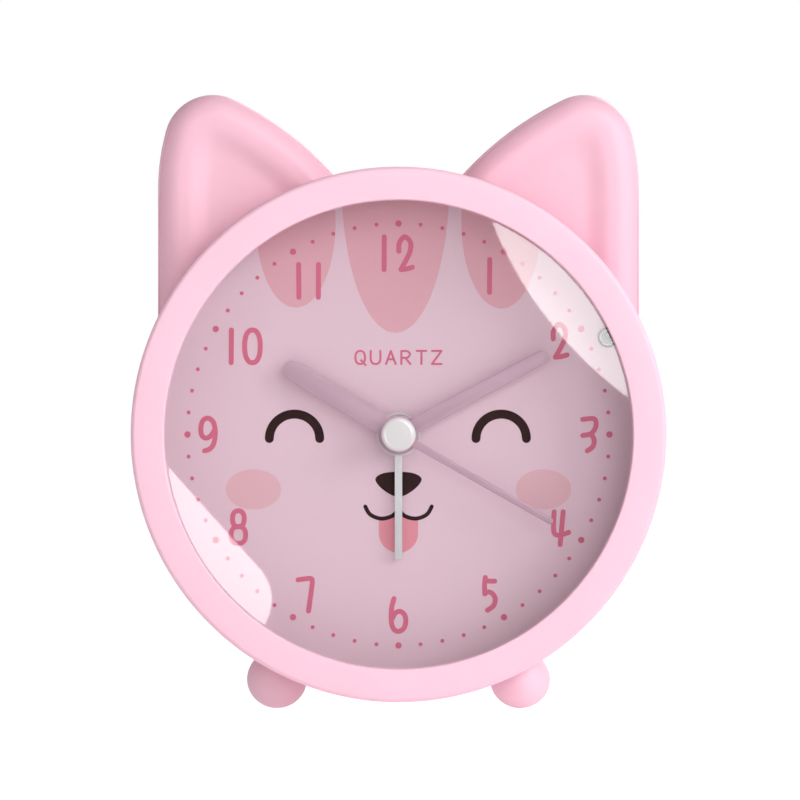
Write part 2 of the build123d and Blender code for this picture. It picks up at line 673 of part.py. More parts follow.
with BuildPart() as movement_back_case:
    add(slab(MOVEMENT, MOVEMENT, PLATE_F + PLATE_T, CASE_BACK, corner=3.0))
    add(slab(52.2, 52.2, PLATE_F + PLATE_T, CASE_F, corner=1.6), mode=Mode.SUBTRACT)
    for x in (-CORNER, CORNER):
        for z in (-CORNER, CORNER):
            add(rod(2.6, PLATE_F + PLATE_T, CASE_F, x, z))
            add(rod(0.95, PLATE_F + PLATE_T, CASE_BACK, x, z), mode=Mode.SUBTRACT)
            add(rod(1.8, 27.1, CASE_BACK, x, z), mode=Mode.SUBTRACT)
    # pads that press the middle plate on the front plate's posts
    for x, z in FRONT_POSTS[:2]:
        add(rod(1.5, MID_F + MID_T, CASE_F, x, z))
    # seats for the stator and the circuit board
    add(rod(1.3, 25.1, CASE_F, 17.2, -13.2))
    add(rod(1.3, 25.1, CASE_F, 4.0, -14.8))
    for x, z in ((-17.0, 19.0), (5.5, 21.5)):
        add(rod(1.2, 25.8, CASE_F, x, z))
    for (x, z), radius in ((CENTRE, 0.5), (THIRD, 0.4), (STEP, 0.4), (ROTOR, 0.35)):
        add(rod(radius + RUN, CASE_F - 0.5, PIVOT_END + 0.2, x, z), mode=Mode.SUBTRACT)
    for x, z in (MOTION, ALARM):
        add(rod(1.0 + RUN, CASE_F, CASE_BACK, x, z), mode=Mode.SUBTRACT)
    add(slab(17.0, 3.0, 24.6, CASE_F, 0, 27.0), mode=Mode.SUBTRACT)

movement_screws = group(
    *[
        turned((0, 28.1), (1.6, 28.1), (1.6, 27.2), (0.9, 27.2), (0.9, 13.0), (0, 13.0), x=x, z=z)
        for x in (-CORNER, CORNER)
        for z in (-CORNER, CORNER)
    ]
)

# ---------------------------------------------------------------- stepping motor and circuit
CORE_F = 24.4
CORE_T = 0.7
CORE_Z = -22.8
CORE_H = 2.4
with BuildPart() as stator:
    add(slab(28.0, 6.8, CORE_F, CORE_F + CORE_T, 5.0, -14.8))
    add(slab(28.0, CORE_H, CORE_F, CORE_F + CORE_T, 5.0, CORE_Z))
    for x in (-7.6, 17.6):
        add(slab(2.8, 10.0, CORE_F, CORE_F + CORE_T, x, -19.0))
    add(rod(2.9, CORE_F - 1, CORE_F + 2, *ROTOR), mode=Mode.SUBTRACT)

COIL_X0, COIL_X1 = -3.6, 13.6
CORE_MID = CORE_F + CORE_T / 2


def coil_sleeve(x0, x1, f_half, z_half, f_bore, z_bore, corner):
    """Sleeve along X round the stator's lower limb."""
    with BuildPart() as sleeve:
        with BuildSketch(side(x0, CORE_Z, CORE_MID)):
            RectangleRounded(2 * f_half, 2 * z_half, corner)
            Rectangle(2 * f_bore, 2 * z_bore, mode=Mode.SUBTRACT)
        extrude(amount=x1 - x0)
    return sleeve.part


with BuildPart() as coil_bobbin:
    add(coil_sleeve(COIL_X0, COIL_X1, 0.8, 1.65, 0.4, 1.25, 0.2))
    add(coil_sleeve(COIL_X0 - 0.8, COIL_X0, 1.9, 2.9, 0.4, 1.25, 0.5))
    add(coil_sleeve(COIL_X1, COIL_X1 + 0.8, 1.9, 2.9, 0.4, 1.25, 0.5))
coil_winding = coil_sleeve(COIL_X0, COIL_X1, 1.6, 2.5, 0.8, 1.65, 0.7)

BOARD_F = 25.0
BOARD_T = 0.8
BOARD_TOP = 24.5
circuit_board = slab(28.0, 10.5, BOARD_F, BOARD_F + BOARD_T, -6.0, BOARD_TOP - 5.25)
chip = turned((0, 24.1), (1.6, 24.3), (2.4, 24.7), (2.6, BOARD_F), (0, BOARD_F), x=-5.0, z=19.5)
quartz_crystal = bar(1.0, -17.0, -10.5, 22.6, BOARD_F - 1.02)

# ---------------------------------------------------------------- gear train
CENTRE_F = (20.4, 21.0)
THIRD_F = (21.5, 22.0)
SECOND_F = (22.6, 23.1)
STEP_F = (23.6, 24.1)
MOTION_F = (18.2, 19.0)
HOUR_F = (17.0, 17.8)
ALARM_F = (15.8, 16.6)

with BuildPart() as second_wheel:
    add(wheel(STEP_PAIR, *SECOND_F, CENTRE, STEP))
    add(pinion(SECOND_PAIR, THIRD_F[0], SECOND_F[0], CENTRE, THIRD))
    add(rod(0.5, 6.7, PIVOT_END))

with BuildPart() as third_wheel:
    add(wheel(SECOND_PAIR, *THIRD_F, THIRD, CENTRE))
    add(pinion(THIRD_PAIR, CENTRE_F[0] - 0.1, THIRD_F[0], THIRD, CENTRE))
    add(rod(0.4, MID_F + 0.1, PIVOT_END, *THIRD))

with BuildPart() as intermediate_wheel:
    add(wheel(ROTOR_PAIR, *STEP_F, STEP, ROTOR))
    add(pinion(STEP_PAIR, SECOND_F[0] - 0.1, STEP_F[0], STEP, CENTRE))
    add(rod(0.4, MID_F + 0.1, PIVOT_END, *STEP))

with BuildPart() as rotor_pinion:
    add(pinion(ROTOR_PAIR, STEP_F[0] - 0.1, STEP_F[1] + 0.1, ROTOR, STEP))
    add(rod(0.35, MID_F + 0.1, PIVOT_END, *ROTOR))
rotor_magnet = rod(2.5, CORE_F, 25.9, *ROTOR, bore=0.37)

with BuildPart() as centre_wheel:
    add(wheel(THIRD_PAIR, *CENTRE_F, CENTRE, THIRD, bore=1.4 + RUN))
    with BuildSketch(face(CENTRE_F[0])):
        with PolarLocations(4.9, 5):
            Circle(1.7)
    extrude(amount=CENTRE_F[0] - CENTRE_F[1], mode=Mode.SUBTRACT)

with BuildPart() as minute_arbor:
    add(rod(1.4, 7.7, 21.3))
    add(pinion(CANNON_PAIR, *MOTION_F, CENTRE, MOTION))
    add(rod(0.5 + RUN, 7.0, 22.0), mode=Mode.SUBTRACT)

with BuildPart() as hour_wheel:
    add(wheel(HOUR_PAIR, *HOUR_F, CENTRE, MOTION))
    add(rod(2.2, 8.9, HOUR_F[1]))
    add(rod(1.4 + RUN, 8.0, 18.0), mode=Mode.SUBTRACT)

with BuildPart() as alarm_wheel:
    add(wheel(ALARM_PAIR, *ALARM_F, CENTRE, ALARM))
    add(rod(3.0, 9.9, ALARM_F[1]))
    add(rod(2.2 + RUN, 9.0, 18.0), mode=Mode.SUBTRACT)

with BuildPart() as motion_wheel:
    add(wheel(CANNON_PAIR, *MOTION_F, MOTION, CENTRE))
    add(pinion(HOUR_PAIR, *HOUR_F, MOTION, CENTRE))
    add(rod(1.9, HOUR_F[0], MOTION_F[1], *MOTION))
    add(rod(1.0, PLATE_F + 0.2, 50.0, *MOTION))

with BuildPart() as alarm_set_arbor:
    add(pinion(ALARM_PAIR, *ALARM_F, ALARM, CENTRE))
    add(rod(1.0, PLATE_F + 0.2, 50.0, *ALARM))


# ---------------------------------------------------------------- hands
def hand(angle, length, root, tip, f, hub, bore, round_end=True):
    """Flat hand on a hub, pointing at a clock angle; root and tip are its widths."""
    turn = radians(angle)
    reach = length - tip / 2 if round_end else length
    plane = Plane(origin=(0, back(f), AXIS_Z), x_dir=(sin(turn), 0, cos(turn)), z_dir=(0, -1, 0))
    with BuildPart() as blade:
        with BuildSketch(plane):
            with BuildLine():
                Polyline((0, -root / 2), (reach, -tip / 2), (reach, tip / 2), (0, root / 2), close=True)
            make_face()
            if round_end:
                with Locations((reach, 0)):
                    Circle(tip / 2)
            Circle(hub)
            Circle(bore, mode=Mode.SUBTRACT)
        extrude(amount=-HAND_T)
    return blade.part


alarm_hand = hand(ALARM_ANGLE, ALARM_LENGTH, 1.5, 1.5, 10.4, 4.3, 3.02, round_end=False)
hour_hand = hand(HOUR_ANGLE, HOUR_LENGTH, 3.9, 3.9, 9.2, 3.95, 2.22)
minute_hand = hand(MINUTE_ANGLE, MINUTE_LENGTH, 3.0, 2.8, 8.0, 2.6, 1.42)
second_hand = hand(SECOND_ANGLE, SECOND_LENGTH, 1.5, 1.3, 6.8, 2.2, 0.52)

CAP_R = 3.4
with BuildPart() as second_hand_cap:
    with BuildSketch(Plane(origin=(0, back(0), AXIS_Z), x_dir=(1, 0, 0), z_dir=(0, 0, 1))):
        with BuildLine():
            Line((0, 4.7), (CAP_R - 0.8, 4.7))
            TangentArc((CAP_R - 0.8, 4.7), (CAP_R, 5.5), tangent=(1, 0))
            Polyline((CAP_R, 5.5), (CAP_R, 6.7), (0, 6.7), (0, 4.7))
        make_face()
    revolve(axis=Axis((0, 0, AXIS_Z), (0, 1, 0)))
    add(rod(1.6, 6.7, 6.8, bore=0.52))


# ---------------------------------------------------------------- knobs, button and slider
def knob(at):
    """Fluted setting knob on an arbor's end."""
    x, z = at
    with BuildPart() as grip:
        with BuildSketch(face(KNOB_F, x, z)):
            Circle(KNOB_R)
            with PolarLocations(KNOB_R + 0.25, 24):
                Circle(0.6, mode=Mode.SUBTRACT)
        extrude(amount=KNOB_F - KNOB_END)
        add(rod(1.02, KNOB_F, 50.1, x, z), mode=Mode.SUBTRACT)
        add(rod(4.2, KNOB_END - 0.6, KNOB_END, x, z), mode=Mode.SUBTRACT)
    return grip.part


time_set_knob = knob(MOTION)
alarm_set_knob = knob(ALARM)

with BuildPart() as light_button:
    add(rod(BUTTON_R, 44.0, 48.2, BUTTON_X, BUTTON_Z))
    add(rod(BUTTON_R + 0.8, 43.4, 44.4, BUTTON_X, BUTTON_Z))
    add(rod(1.5, 42.9, 43.4, BUTTON_X, BUTTON_Z))

LIGHT_BOARD_H = 15.0
with BuildPart() as light_board:
    add(slab(9.0, LIGHT_BOARD_H, 36.8, 38.0, BUTTON_X, BUTTON_Z, corner=1.0))
with BuildPart() as light_switch:
    add(slab(6.0, 6.0, 38.0, 41.0, BUTTON_X, BUTTON_Z))
    add(rod(1.7, 41.0, 41.6, BUTTON_X, BUTTON_Z))

with BuildPart() as alarm_switch:
    add(slab(12.0, 6.0, 43.3, 44.4, SLIDER_X, SLIDER_Z))
    add(slab(SLIDER_W, SLIDER_H, 44.4, 47.8, SLIDER_X, SLIDER_Z))

with BuildPart() as buzzer:
    add(rod(BUZZER_R, 39.0, 44.3, 0, BUZZER_Z))
    add(rod(2.0, 43.3, 44.3, 0, BUZZER_Z), mode=Mode.SUBTRACT)

# ---------------------------------------------------------------- leads
LEAD_R = 0.4
WINDOW_F = 25.7  # leads enter the movement through the window in its top wall
BOARD_EDGE = BOARD_TOP + 0.05
EDGE_F = BOARD_F + BOARD_T / 2


def into_window(x):
    """Last points of a lead that goes over the movement's top wall to the board's edge."""
    return (x, 30.6, 31.5), (x, 31.2, WINDOW_F), (x, BOARD_EDGE, EDGE_F)


battery_lead_positive = wire(
    LEAD_R,
    (BAY_X, -14.0, 35.0),
    (32.5, -14.0, 35.0),
    (33.0, -3.0, 32.5),
    (20.0, 14.0, 31.0),
    *into_window(7.2),
)
battery_lead_negative = wire(
    LEAD_R,
    (-BAY_X, -14.0, 35.0),
    (-32.5, -14.0, 35.0),
    (-33.0, -3.0, 32.5),
    (-20.0, 14.0, 31.0),
    *into_window(-7.2),
)
buzzer_leads = group(
    *[wire(LEAD_R, (x, 22.0, 39.0), (x, 22.0, 34.5), *into_window(x)) for x in (-1.5, 1.5)]
)
led_leads = group(
    *[
        wire(
            LEAD_R,
            (LAMP_X, LAMP_Z + side_z, 18.0),
            (LAMP_X - 0.3, LAMP_Z + side_z, 23.5),
            (37.0, LAMP_Z + 1.2 * side_z, 32.0),
            (31.5, LAMP_Z + 1.2 * side_z, 37.2),
            (BUTTON_X + 4.5, LAMP_Z + side_z, 37.4),
        )
        for side_z in (-LEG, LEG)
    ]
)
light_leads = group(
    wire(
        LEAD_R,
        (BUTTON_X + 2, BUTTON_Z - LIGHT_BOARD_H / 2, 37.4),
        (BUTTON_X + 2.0, 2.0, 37.4),
        (31.0, -8.5, 37.4),
        (33.2, -16.5, 38.0),
        (BAY_X, -16.5, 38.0),
    ),
    wire(
        LEAD_R,
        (BUTTON_X - 2, BUTTON_Z - LIGHT_BOARD_H / 2, 37.4),
        (BUTTON_X - 2.0, 2.0, 37.4),
        (10.0, -6.0, 36.6),
        (-12.0, -6.8, 36.4),
        (-30.5, -8.0, 37.2),
        (-33.2, -16.5, 38.0),
        (-BAY_X, -16.5, 38.0),
    ),
)

# ---------------------------------------------------------------- write every piece
PIECES = {
    "front_bezel": front_bezel.part,
    "lens": lens.part,
    "lens_spacer_ring": lens_spacer_ring.part,
    "dial": dial.part,
    "dial_frame": dial_frame.part,
    "dial_frame_screws": dial_frame_screws,
    "led_lamp": led_lamp.part,
    "housing": housing.part,
    "trim_screws": trim_screws,
    "ear_right": ear_right.part,
    "ear_left": ear_left,
    "foot_right": foot_right,
    "foot_left": foot_left,
    "tail": tail.part,
    "back_cover": back_cover.part,
    "case_screws": case_screws,
    "battery_cover": battery_cover.part,
    "battery": battery.part,
    "battery_contact_positive": battery_contact_positive.part,
    "battery_spring_negative": battery_spring_negative.part,
    "movement_front_plate": movement_front_plate.part,
    "alarm_contact_spring": alarm_contact_spring.part,
    "movement_middle_plate": movement_middle_plate.part,
    "movement_back_case": movement_back_case.part,
    "movement_screws": movement_screws,
    "stator": stator.part,
    "coil_bobbin": coil_bobbin.part,
    "coil_winding": coil_winding,
    "circuit_board": circuit_board,
    "chip": chip,
    "quartz_crystal": quartz_crystal,
    "second_wheel": second_wheel.part,
    "third_wheel": third_wheel.part,
    "intermediate_wheel": intermediate_wheel.part,
    "rotor_pinion": rotor_pinion.part,
    "rotor_magnet": rotor_magnet,
    "centre_wheel": centre_wheel.part,
    "minute_arbor": minute_arbor.part,
    "hour_wheel": hour_wheel.part,
    "alarm_wheel": alarm_wheel.part,
    "motion_wheel": motion_wheel.part,
    "alarm_set_arbor": alarm_set_arbor.part,
    "alarm_hand": alarm_hand,
    "hour_hand": hour_hand,
    "minute_hand": minute_hand,
    "second_hand": second_hand,
    "second_hand_cap": second_hand_cap.part,
    "time_set_knob": time_set_knob,
    "alarm_set_knob": alarm_set_knob,
    "light_button": light_button.part,
    "light_board": light_board.part,
    "light_switch": light_switch.part,
    "alarm_switch": alarm_switch.part,
    "buzzer": buzzer.part,
    "battery_lead_positive": battery_lead_positive,
    "battery_lead_negative": battery_lead_negative,
    "buzzer_leads": buzzer_leads,
    "led_leads": led_leads,
    "light_leads": light_leads,
}
for name, shape in PIECES.items():
    save(shape, name)
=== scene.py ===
"""Looks of the cat-eared alarm clock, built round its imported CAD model.

Metres, +Z up, the dial faces -Y. Shapes are drawn in millimetres as (x, z, f): x to the right
of the dial's axis, z above it, and f backwards from the bezel's front face.
"""

import json
from math import atan2, ceil, cos, gamma, hypot, pi, radians, sin, sqrt

import bmesh
import bpy
from mathutils import Euler, Matrix, Vector


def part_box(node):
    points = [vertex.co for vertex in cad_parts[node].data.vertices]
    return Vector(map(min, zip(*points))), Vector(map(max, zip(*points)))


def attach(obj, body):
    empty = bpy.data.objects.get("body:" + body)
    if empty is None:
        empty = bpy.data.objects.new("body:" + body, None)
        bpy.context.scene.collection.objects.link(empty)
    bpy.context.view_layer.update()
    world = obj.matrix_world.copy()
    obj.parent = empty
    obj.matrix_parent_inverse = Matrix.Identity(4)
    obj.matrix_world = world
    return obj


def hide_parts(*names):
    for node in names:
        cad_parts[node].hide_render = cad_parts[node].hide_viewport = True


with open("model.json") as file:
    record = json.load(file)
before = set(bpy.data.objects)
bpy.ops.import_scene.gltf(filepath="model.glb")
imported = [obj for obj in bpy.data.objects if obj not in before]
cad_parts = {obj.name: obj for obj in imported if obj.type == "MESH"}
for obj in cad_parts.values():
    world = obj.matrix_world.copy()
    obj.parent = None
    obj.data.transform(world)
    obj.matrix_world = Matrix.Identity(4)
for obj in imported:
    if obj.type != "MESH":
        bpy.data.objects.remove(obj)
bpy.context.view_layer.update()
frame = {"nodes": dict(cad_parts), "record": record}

MM = 0.001
BEZEL_LOW, BEZEL_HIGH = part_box("front_bezel")
FRONT_Y = BEZEL_LOW.y
AXIS_Z = (BEZEL_LOW.z + BEZEL_HIGH.z) / 2
BEZEL_R = (BEZEL_HIGH.x - BEZEL_LOW.x) / 2 / MM
CASE_BODY = "clock_case"


def station(y):
    """Millimetres behind the bezel's front face."""
    return (y - FRONT_Y) / MM


def place(x, z, f):
    """Point of the model from millimetres about the dial."""
    return Vector((x * MM, FRONT_Y + f * MM, AXIS_Z + z * MM))


def stations(node):
    """Front and back station of a CAD node."""
    low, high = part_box(node)
    return station(low.y), station(high.y)


def centre(node):
    """(x, z) of a CAD node's middle."""
    low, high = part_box(node)
    return (low.x + high.x) / 2 / MM, ((low.z + high.z) / 2 - AXIS_Z) / MM


# ---------------------------------------------------------------- camera
CAMERA_AWAY = 1.0  # in front of the bezel
SENSOR = 36.0
VIEW_WIDTH = 0.157  # seen at the bezel's distance
SHIFT = (0.0019, 0.0431)  # the dial sits a little left of the picture's middle and below it
FAR_CLIP = 20.0


def make_camera():
    data = bpy.data.cameras.new("camera")
    data.sensor_width = SENSOR
    data.lens = SENSOR * CAMERA_AWAY / VIEW_WIDTH
    data.shift_x, data.shift_y = SHIFT
    data.clip_end = FAR_CLIP
    camera = bpy.data.objects.new("camera", data)
    camera.location = (0, FRONT_Y - CAMERA_AWAY, AXIS_Z)
    camera.rotation_euler = Euler((radians(90), 0, 0))
    bpy.context.scene.collection.objects.link(camera)
    bpy.context.scene.camera = camera


make_camera()


# ---------------------------------------------------------------- materials
PLASTIC_IOR = 1.49
LENS_MIRROR = 1.9  # share of a bare face's gloss that the lens's front has, for both its faces
NOISE_LOW, NOISE_HIGH = 0.3, 0.7  # range in which most of a noise's values lie


def srgb(red, green, blue):
    """Linear colour of 8-bit display values."""
    linear = []
    for value in (red, green, blue):
        value /= 255
        linear.append(value / 12.92 if value <= 0.04045 else ((value + 0.055) / 1.055) ** 2.4)
    return (*linear, 1.0)


class Finish:
    """A Principled material and short ways to add procedural detail to it."""

    def __init__(self, name):
        self.material = bpy.data.materials.new(name)
        self.material.use_nodes = True
        self.nodes = self.material.node_tree.nodes
        self.links = self.material.node_tree.links
        self.shader = self.nodes["Principled BSDF"]
        self.output = self.nodes["Material Output"]
        self.place = self.nodes.new("ShaderNodeTexCoord").outputs["Object"]

    def set(self, **values):
        for name, value in values.items():
            self.shader.inputs[name.replace("_", " ")].default_value = value

    def noise(self, size, detail=3.0, stretch=(1, 1, 1)):
        """Noise whose blotches are about size millimetres across."""
        mapping = self.nodes.new("ShaderNodeMapping")
        mapping.inputs["Scale"].default_value = stretch
        self.links.new(self.place, mapping.inputs["Vector"])
        noise = self.nodes.new("ShaderNodeTexNoise")
        noise.inputs["Scale"].default_value = 1 / (size * MM)
        noise.inputs["Detail"].default_value = detail
        self.links.new(mapping.outputs["Vector"], noise.inputs["Vector"])
        return noise.outputs["Fac"]

    def vary_colour(self, factor, first, second):
        ramp = self.nodes.new("ShaderNodeValToRGB")
        for stop, position, colour in zip(ramp.color_ramp.elements, (NOISE_LOW, NOISE_HIGH), (first, second)):
            stop.position = position
            stop.color = colour
        self.links.new(factor, ramp.inputs["Fac"])
        self.links.new(ramp.outputs["Color"], self.shader.inputs["Base Color"])

    def vary_roughness(self, factor, low, high):
        spread = self.nodes.new("ShaderNodeMapRange")
        spread.inputs["From Min"].default_value = NOISE_LOW
        spread.inputs["From Max"].default_value = NOISE_HIGH
        spread.inputs["To Min"].default_value = low
        spread.inputs["To Max"].default_value = high
        self.links.new(factor, spread.inputs["Value"])
        self.links.new(spread.outputs["Result"], self.shader.inputs["Roughness"])

    def bump(self, factor, depth):
        """Relief of depth millimetres."""
        bump = self.nodes.new("ShaderNodeBump")
        bump.inputs["Strength"].default_value = 1.0
        bump.inputs["Distance"].default_value = depth * MM
        self.links.new(factor, bump.inputs["Height"])
        self.links.new(bump.outputs["Normal"], self.shader.inputs["Normal"])


def scaled(colour, amount):
    """The colour with its channels multiplied by amount."""
    return (*[channel * amount for channel in colour[:3]], 1.0)


def moulded(name, colour, roughness, grain=0.35, relief=0.004, mottle=0.03, coat=0.0):
    """Moulded plastic: faint flow mottle, fine texture and slightly uneven gloss."""
    finish = Finish(name)
    finish.vary_colour(finish.noise(14.0), scaled(colour, 1 - mottle), colour)
    finish.vary_roughness(finish.noise(3.0), roughness * 0.92, roughness * 1.08)
    finish.bump(finish.noise(grain, detail=2.0), relief)
    finish.set(IOR=PLASTIC_IOR)
    if coat:
        finish.set(Coat_Weight=coat, Coat_Roughness=0.08)
    return finish.material


def metal(name, colour, roughness, grain=0.12, stretch=(1, 1, 1), relief=0.002, shine=1.0):
    """Metal with drawn or rolled grain; shine is its metallic share under any lacquer."""
    finish = Finish(name)
    grained = finish.noise(grain, detail=4.0, stretch=stretch)
    finish.vary_colour(finish.noise(5.0), scaled(colour, 0.9), colour)
    finish.vary_roughness(grained, roughness * 0.8, roughness * 1.25)
    finish.bump(grained, relief)
    finish.set(Metallic=shine)
    return finish.material


def printed(name, colour, roughness=0.55):
    """Ink on a card: a trace of uneven cover."""
    finish = Finish(name)
    finish.vary_colour(finish.noise(0.6), scaled(colour, 0.97), colour)
    finish.vary_roughness(finish.noise(0.3), roughness * 0.9, roughness * 1.1)
    finish.set(Specular_IOR_Level=0.12)
    return finish.material


def clear_plastic(name, roughness=0.02):
    """Thin clear wall: its front mirrors for both of its faces, and the rest passes through."""
    finish = Finish(name)
    finish.nodes.remove(finish.shader)
    through = finish.nodes.new("ShaderNodeBsdfTransparent")
    gloss = finish.nodes.new("ShaderNodeBsdfGlossy")
    smear = finish.nodes.new("ShaderNodeMapRange")
    smear.inputs["To Min"].default_value = roughness * 0.5
    smear.inputs["To Max"].default_value = roughness * 1.5
    finish.links.new(finish.noise(8.0), smear.inputs["Value"])
    finish.links.new(smear.outputs["Result"], gloss.inputs["Roughness"])
    fresnel = finish.nodes.new("ShaderNodeFresnel")
    fresnel.inputs["IOR"].default_value = PLASTIC_IOR
    side = finish.nodes.new("ShaderNodeNewGeometry")
    faces = finish.nodes.new("ShaderNodeMapRange")
    faces.inputs["To Min"].default_value = LENS_MIRROR
    faces.inputs["To Max"].default_value = 0.0
    finish.links.new(side.outputs["Backfacing"], faces.inputs["Value"])
    share = finish.nodes.new("ShaderNodeMath")
    share.operation = "MULTIPLY"
    share.use_clamp = True
    finish.links.new(fresnel.outputs["Fac"], share.inputs[0])
    finish.links.new(faces.outputs["Result"], share.inputs[1])
    mix = finish.nodes.new("ShaderNodeMixShader")
    finish.links.new(share.outputs["Value"], mix.inputs["Fac"])
    finish.links.new(through.outputs["BSDF"], mix.inputs[1])
    finish.links.new(gloss.outputs["BSDF"], mix.inputs[2])
    finish.links.new(mix.outputs["Shader"], finish.output.inputs["Surface"])
    return finish.material


MATERIALS = {
    "bezel_pink": moulded("bezel_pink", srgb(248, 199, 217), 0.5),
    "case_pink": moulded("case_pink", srgb(243, 188, 206), 0.5),
    "lens_clear": clear_plastic("lens_clear"),
    "dial_card": printed("dial_card", srgb(234, 205, 217)),
    "white_plastic": moulded("white_plastic", srgb(236, 234, 232), 0.45),
    "grey_plastic": moulded("grey_plastic", srgb(150, 148, 150), 0.5),
    "black_plastic": moulded("black_plastic", srgb(38, 36, 38), 0.45),
    "hand_mauve": moulded("hand_mauve", srgb(199, 164, 182), 0.5, grain=0.2, relief=0.002),
    "alarm_silver": metal("alarm_silver", srgb(226, 226, 228), 0.4, shine=0.35),
    "cap_white": moulded("cap_white", srgb(240, 238, 239), 0.16, relief=0.0005, coat=0.5),
    "lamp_clear": moulded("lamp_clear", srgb(112, 118, 118), 0.2, coat=0.6),
    "steel": metal("steel", srgb(190, 190, 194), 0.3, stretch=(1, 6, 1)),
    "copper": metal("copper", srgb(214, 128, 84), 0.32, grain=0.1, stretch=(0.2, 4, 4), relief=0.01),
    "board_green": moulded("board_green", srgb(34, 104, 66), 0.38),
    "magnet": metal("magnet", srgb(110, 110, 114), 0.45),
    "brass": metal("brass", srgb(214, 180, 104), 0.28, stretch=(1, 6, 1)),
    "cell_jacket": moulded("cell_jacket", srgb(60, 64, 74), 0.3, coat=0.3),
    "lead_red": moulded("lead_red", srgb(190, 36, 40), 0.45),
    "lead_black": moulded("lead_black", srgb(30, 30, 32), 0.45),
    "gear_white": moulded("gear_white", srgb(232, 228, 214), 0.42),
}
PRINT_PETAL = printed("print_petal", srgb(230, 176, 188))
PRINT_CHEEK = printed("print_cheek", srgb(232, 186, 196))
PRINT_TONGUE = printed("print_tongue", srgb(232, 151, 165))
PRINT_PINK = printed("print_pink", srgb(218, 114, 143))
PRINT_BROWN = printed("print_brown", srgb(46, 22, 23))
SPACER_MAUVE = moulded("spacer_mauve", srgb(188, 160, 170), 0.6)
# lighter copy of the case pink for the feet: painted light where the bezel shades them
FOOT_PINK_PAINTED_LIGHT = moulded("foot_pink_painted_light", srgb(244, 200, 215), 0.5)
# darker copy of the hand mauve for the minute and second hands: painted shade
HAND_MAUVE_PAINTED_SHADE = moulded("hand_mauve_painted_shade", srgb(188, 153, 171), 0.5, grain=0.2, relief=0.002)
LAMP_RING = moulded("lamp_ring", srgb(204, 207, 206), 0.4)

for part in frame["record"]["subparts"]:
    frame["nodes"][part["node"]].material_slots[0].material = MATERIALS[part["material_slot"]]
frame["nodes"]["lens_spacer_ring"].material_slots[0].material = SPACER_MAUVE


# ---------------------------------------------------------------- mesh helpers
OVERLAP = 0.006  # how far printed strokes step forwards where they cross
MERGE = 1e-7  # metres


def arc(x, y, radius, start, end, steps):
    """Points on a circle, angles in degrees."""
    return [
        (x + radius * cos(radians(start + (end - start) * i / steps)),
         y + radius * sin(radians(start + (end - start) * i / steps)))
        for i in range(steps + 1)
    ]


def smooth_line(points, steps=10, closed=False):
    """Catmull-Rom curve through points."""
    line = []
    count = len(points)
    spans = count if closed else count - 1
    for i in range(spans):
        if closed:
            four = [points[(i + k - 1) % count] for k in range(4)]
        else:
            four = [points[min(max(i + k - 1, 0), count - 1)] for k in range(4)]
        for step in range(steps):
            t = step / steps
            weights = (
                (-t + 2 * t**2 - t**3) / 2,
                (2 - 5 * t**2 + 3 * t**3) / 2,
                (t + 4 * t**2 - 3 * t**3) / 2,
                (-(t**2) + t**3) / 2,
            )
            line.append(tuple(sum(w * p[axis] for w, p in zip(weights, four)) for axis in (0, 1)))
    if not closed:
        line.append(tuple(points[-1]))
    return line


def finish_piece(name, bm, slot, body=CASE_BODY, material=None, replaces=(), sharp=35):
    """Turns a bmesh into a shown piece that rides on a body."""
    bmesh.ops.remove_doubles(bm, verts=bm.verts, dist=MERGE)
    bmesh.ops.recalc_face_normals(bm, faces=bm.faces)
    for polygon in bm.faces:
        polygon.smooth = True
    for edge in bm.edges:
        if len(edge.link_faces) == 2 and edge.calc_face_angle(0) > radians(sharp):
            edge.smooth = False
    mesh = bpy.data.meshes.new(name)
    bm.to_mesh(mesh)
    bm.free()
    mesh.materials.append(material or MATERIALS[slot])
    piece = bpy.data.objects.new(name, mesh)
    bpy.context.scene.collection.objects.link(piece)
    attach(piece, body)
    if replaces:
        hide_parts(*replaces)


def lathe(bm, profile, x=0.0, z=0.0, steps=192):
    """Closed (radius, station) profile turned about an axis along Y."""
    rings = []
    for step in range(steps):
        angle = 2 * pi * step / steps
        rings.append([bm.verts.new(place(x + r * cos(angle), z + r * sin(angle), f)) for r, f in profile])
    for i in range(steps):
        here, there = rings[i], rings[(i + 1) % steps]
        for k in range(len(profile)):
            n = (k + 1) % len(profile)
            if profile[k][0] > 1e-6 or profile[n][0] > 1e-6:
                bm.faces.new((here[k], here[n], there[n], there[k]))


def extruded(bm, faces, thickness):
    """Closes flat faces into a plate that goes back by thickness."""
    made = bmesh.ops.extrude_face_region(bm, geom=faces, use_keep_orig=True)
    moved = [item for item in made["geom"] if isinstance(item, bmesh.types.BMVert)]
    bmesh.ops.translate(bm, verts=moved, vec=(0, thickness * MM, 0))


def plate(bm, outline, f, thickness):
    """Flat shape with its front at station f."""
    extruded(bm, [bm.faces.new([bm.verts.new(place(x, z, f)) for x, z in outline])], thickness)


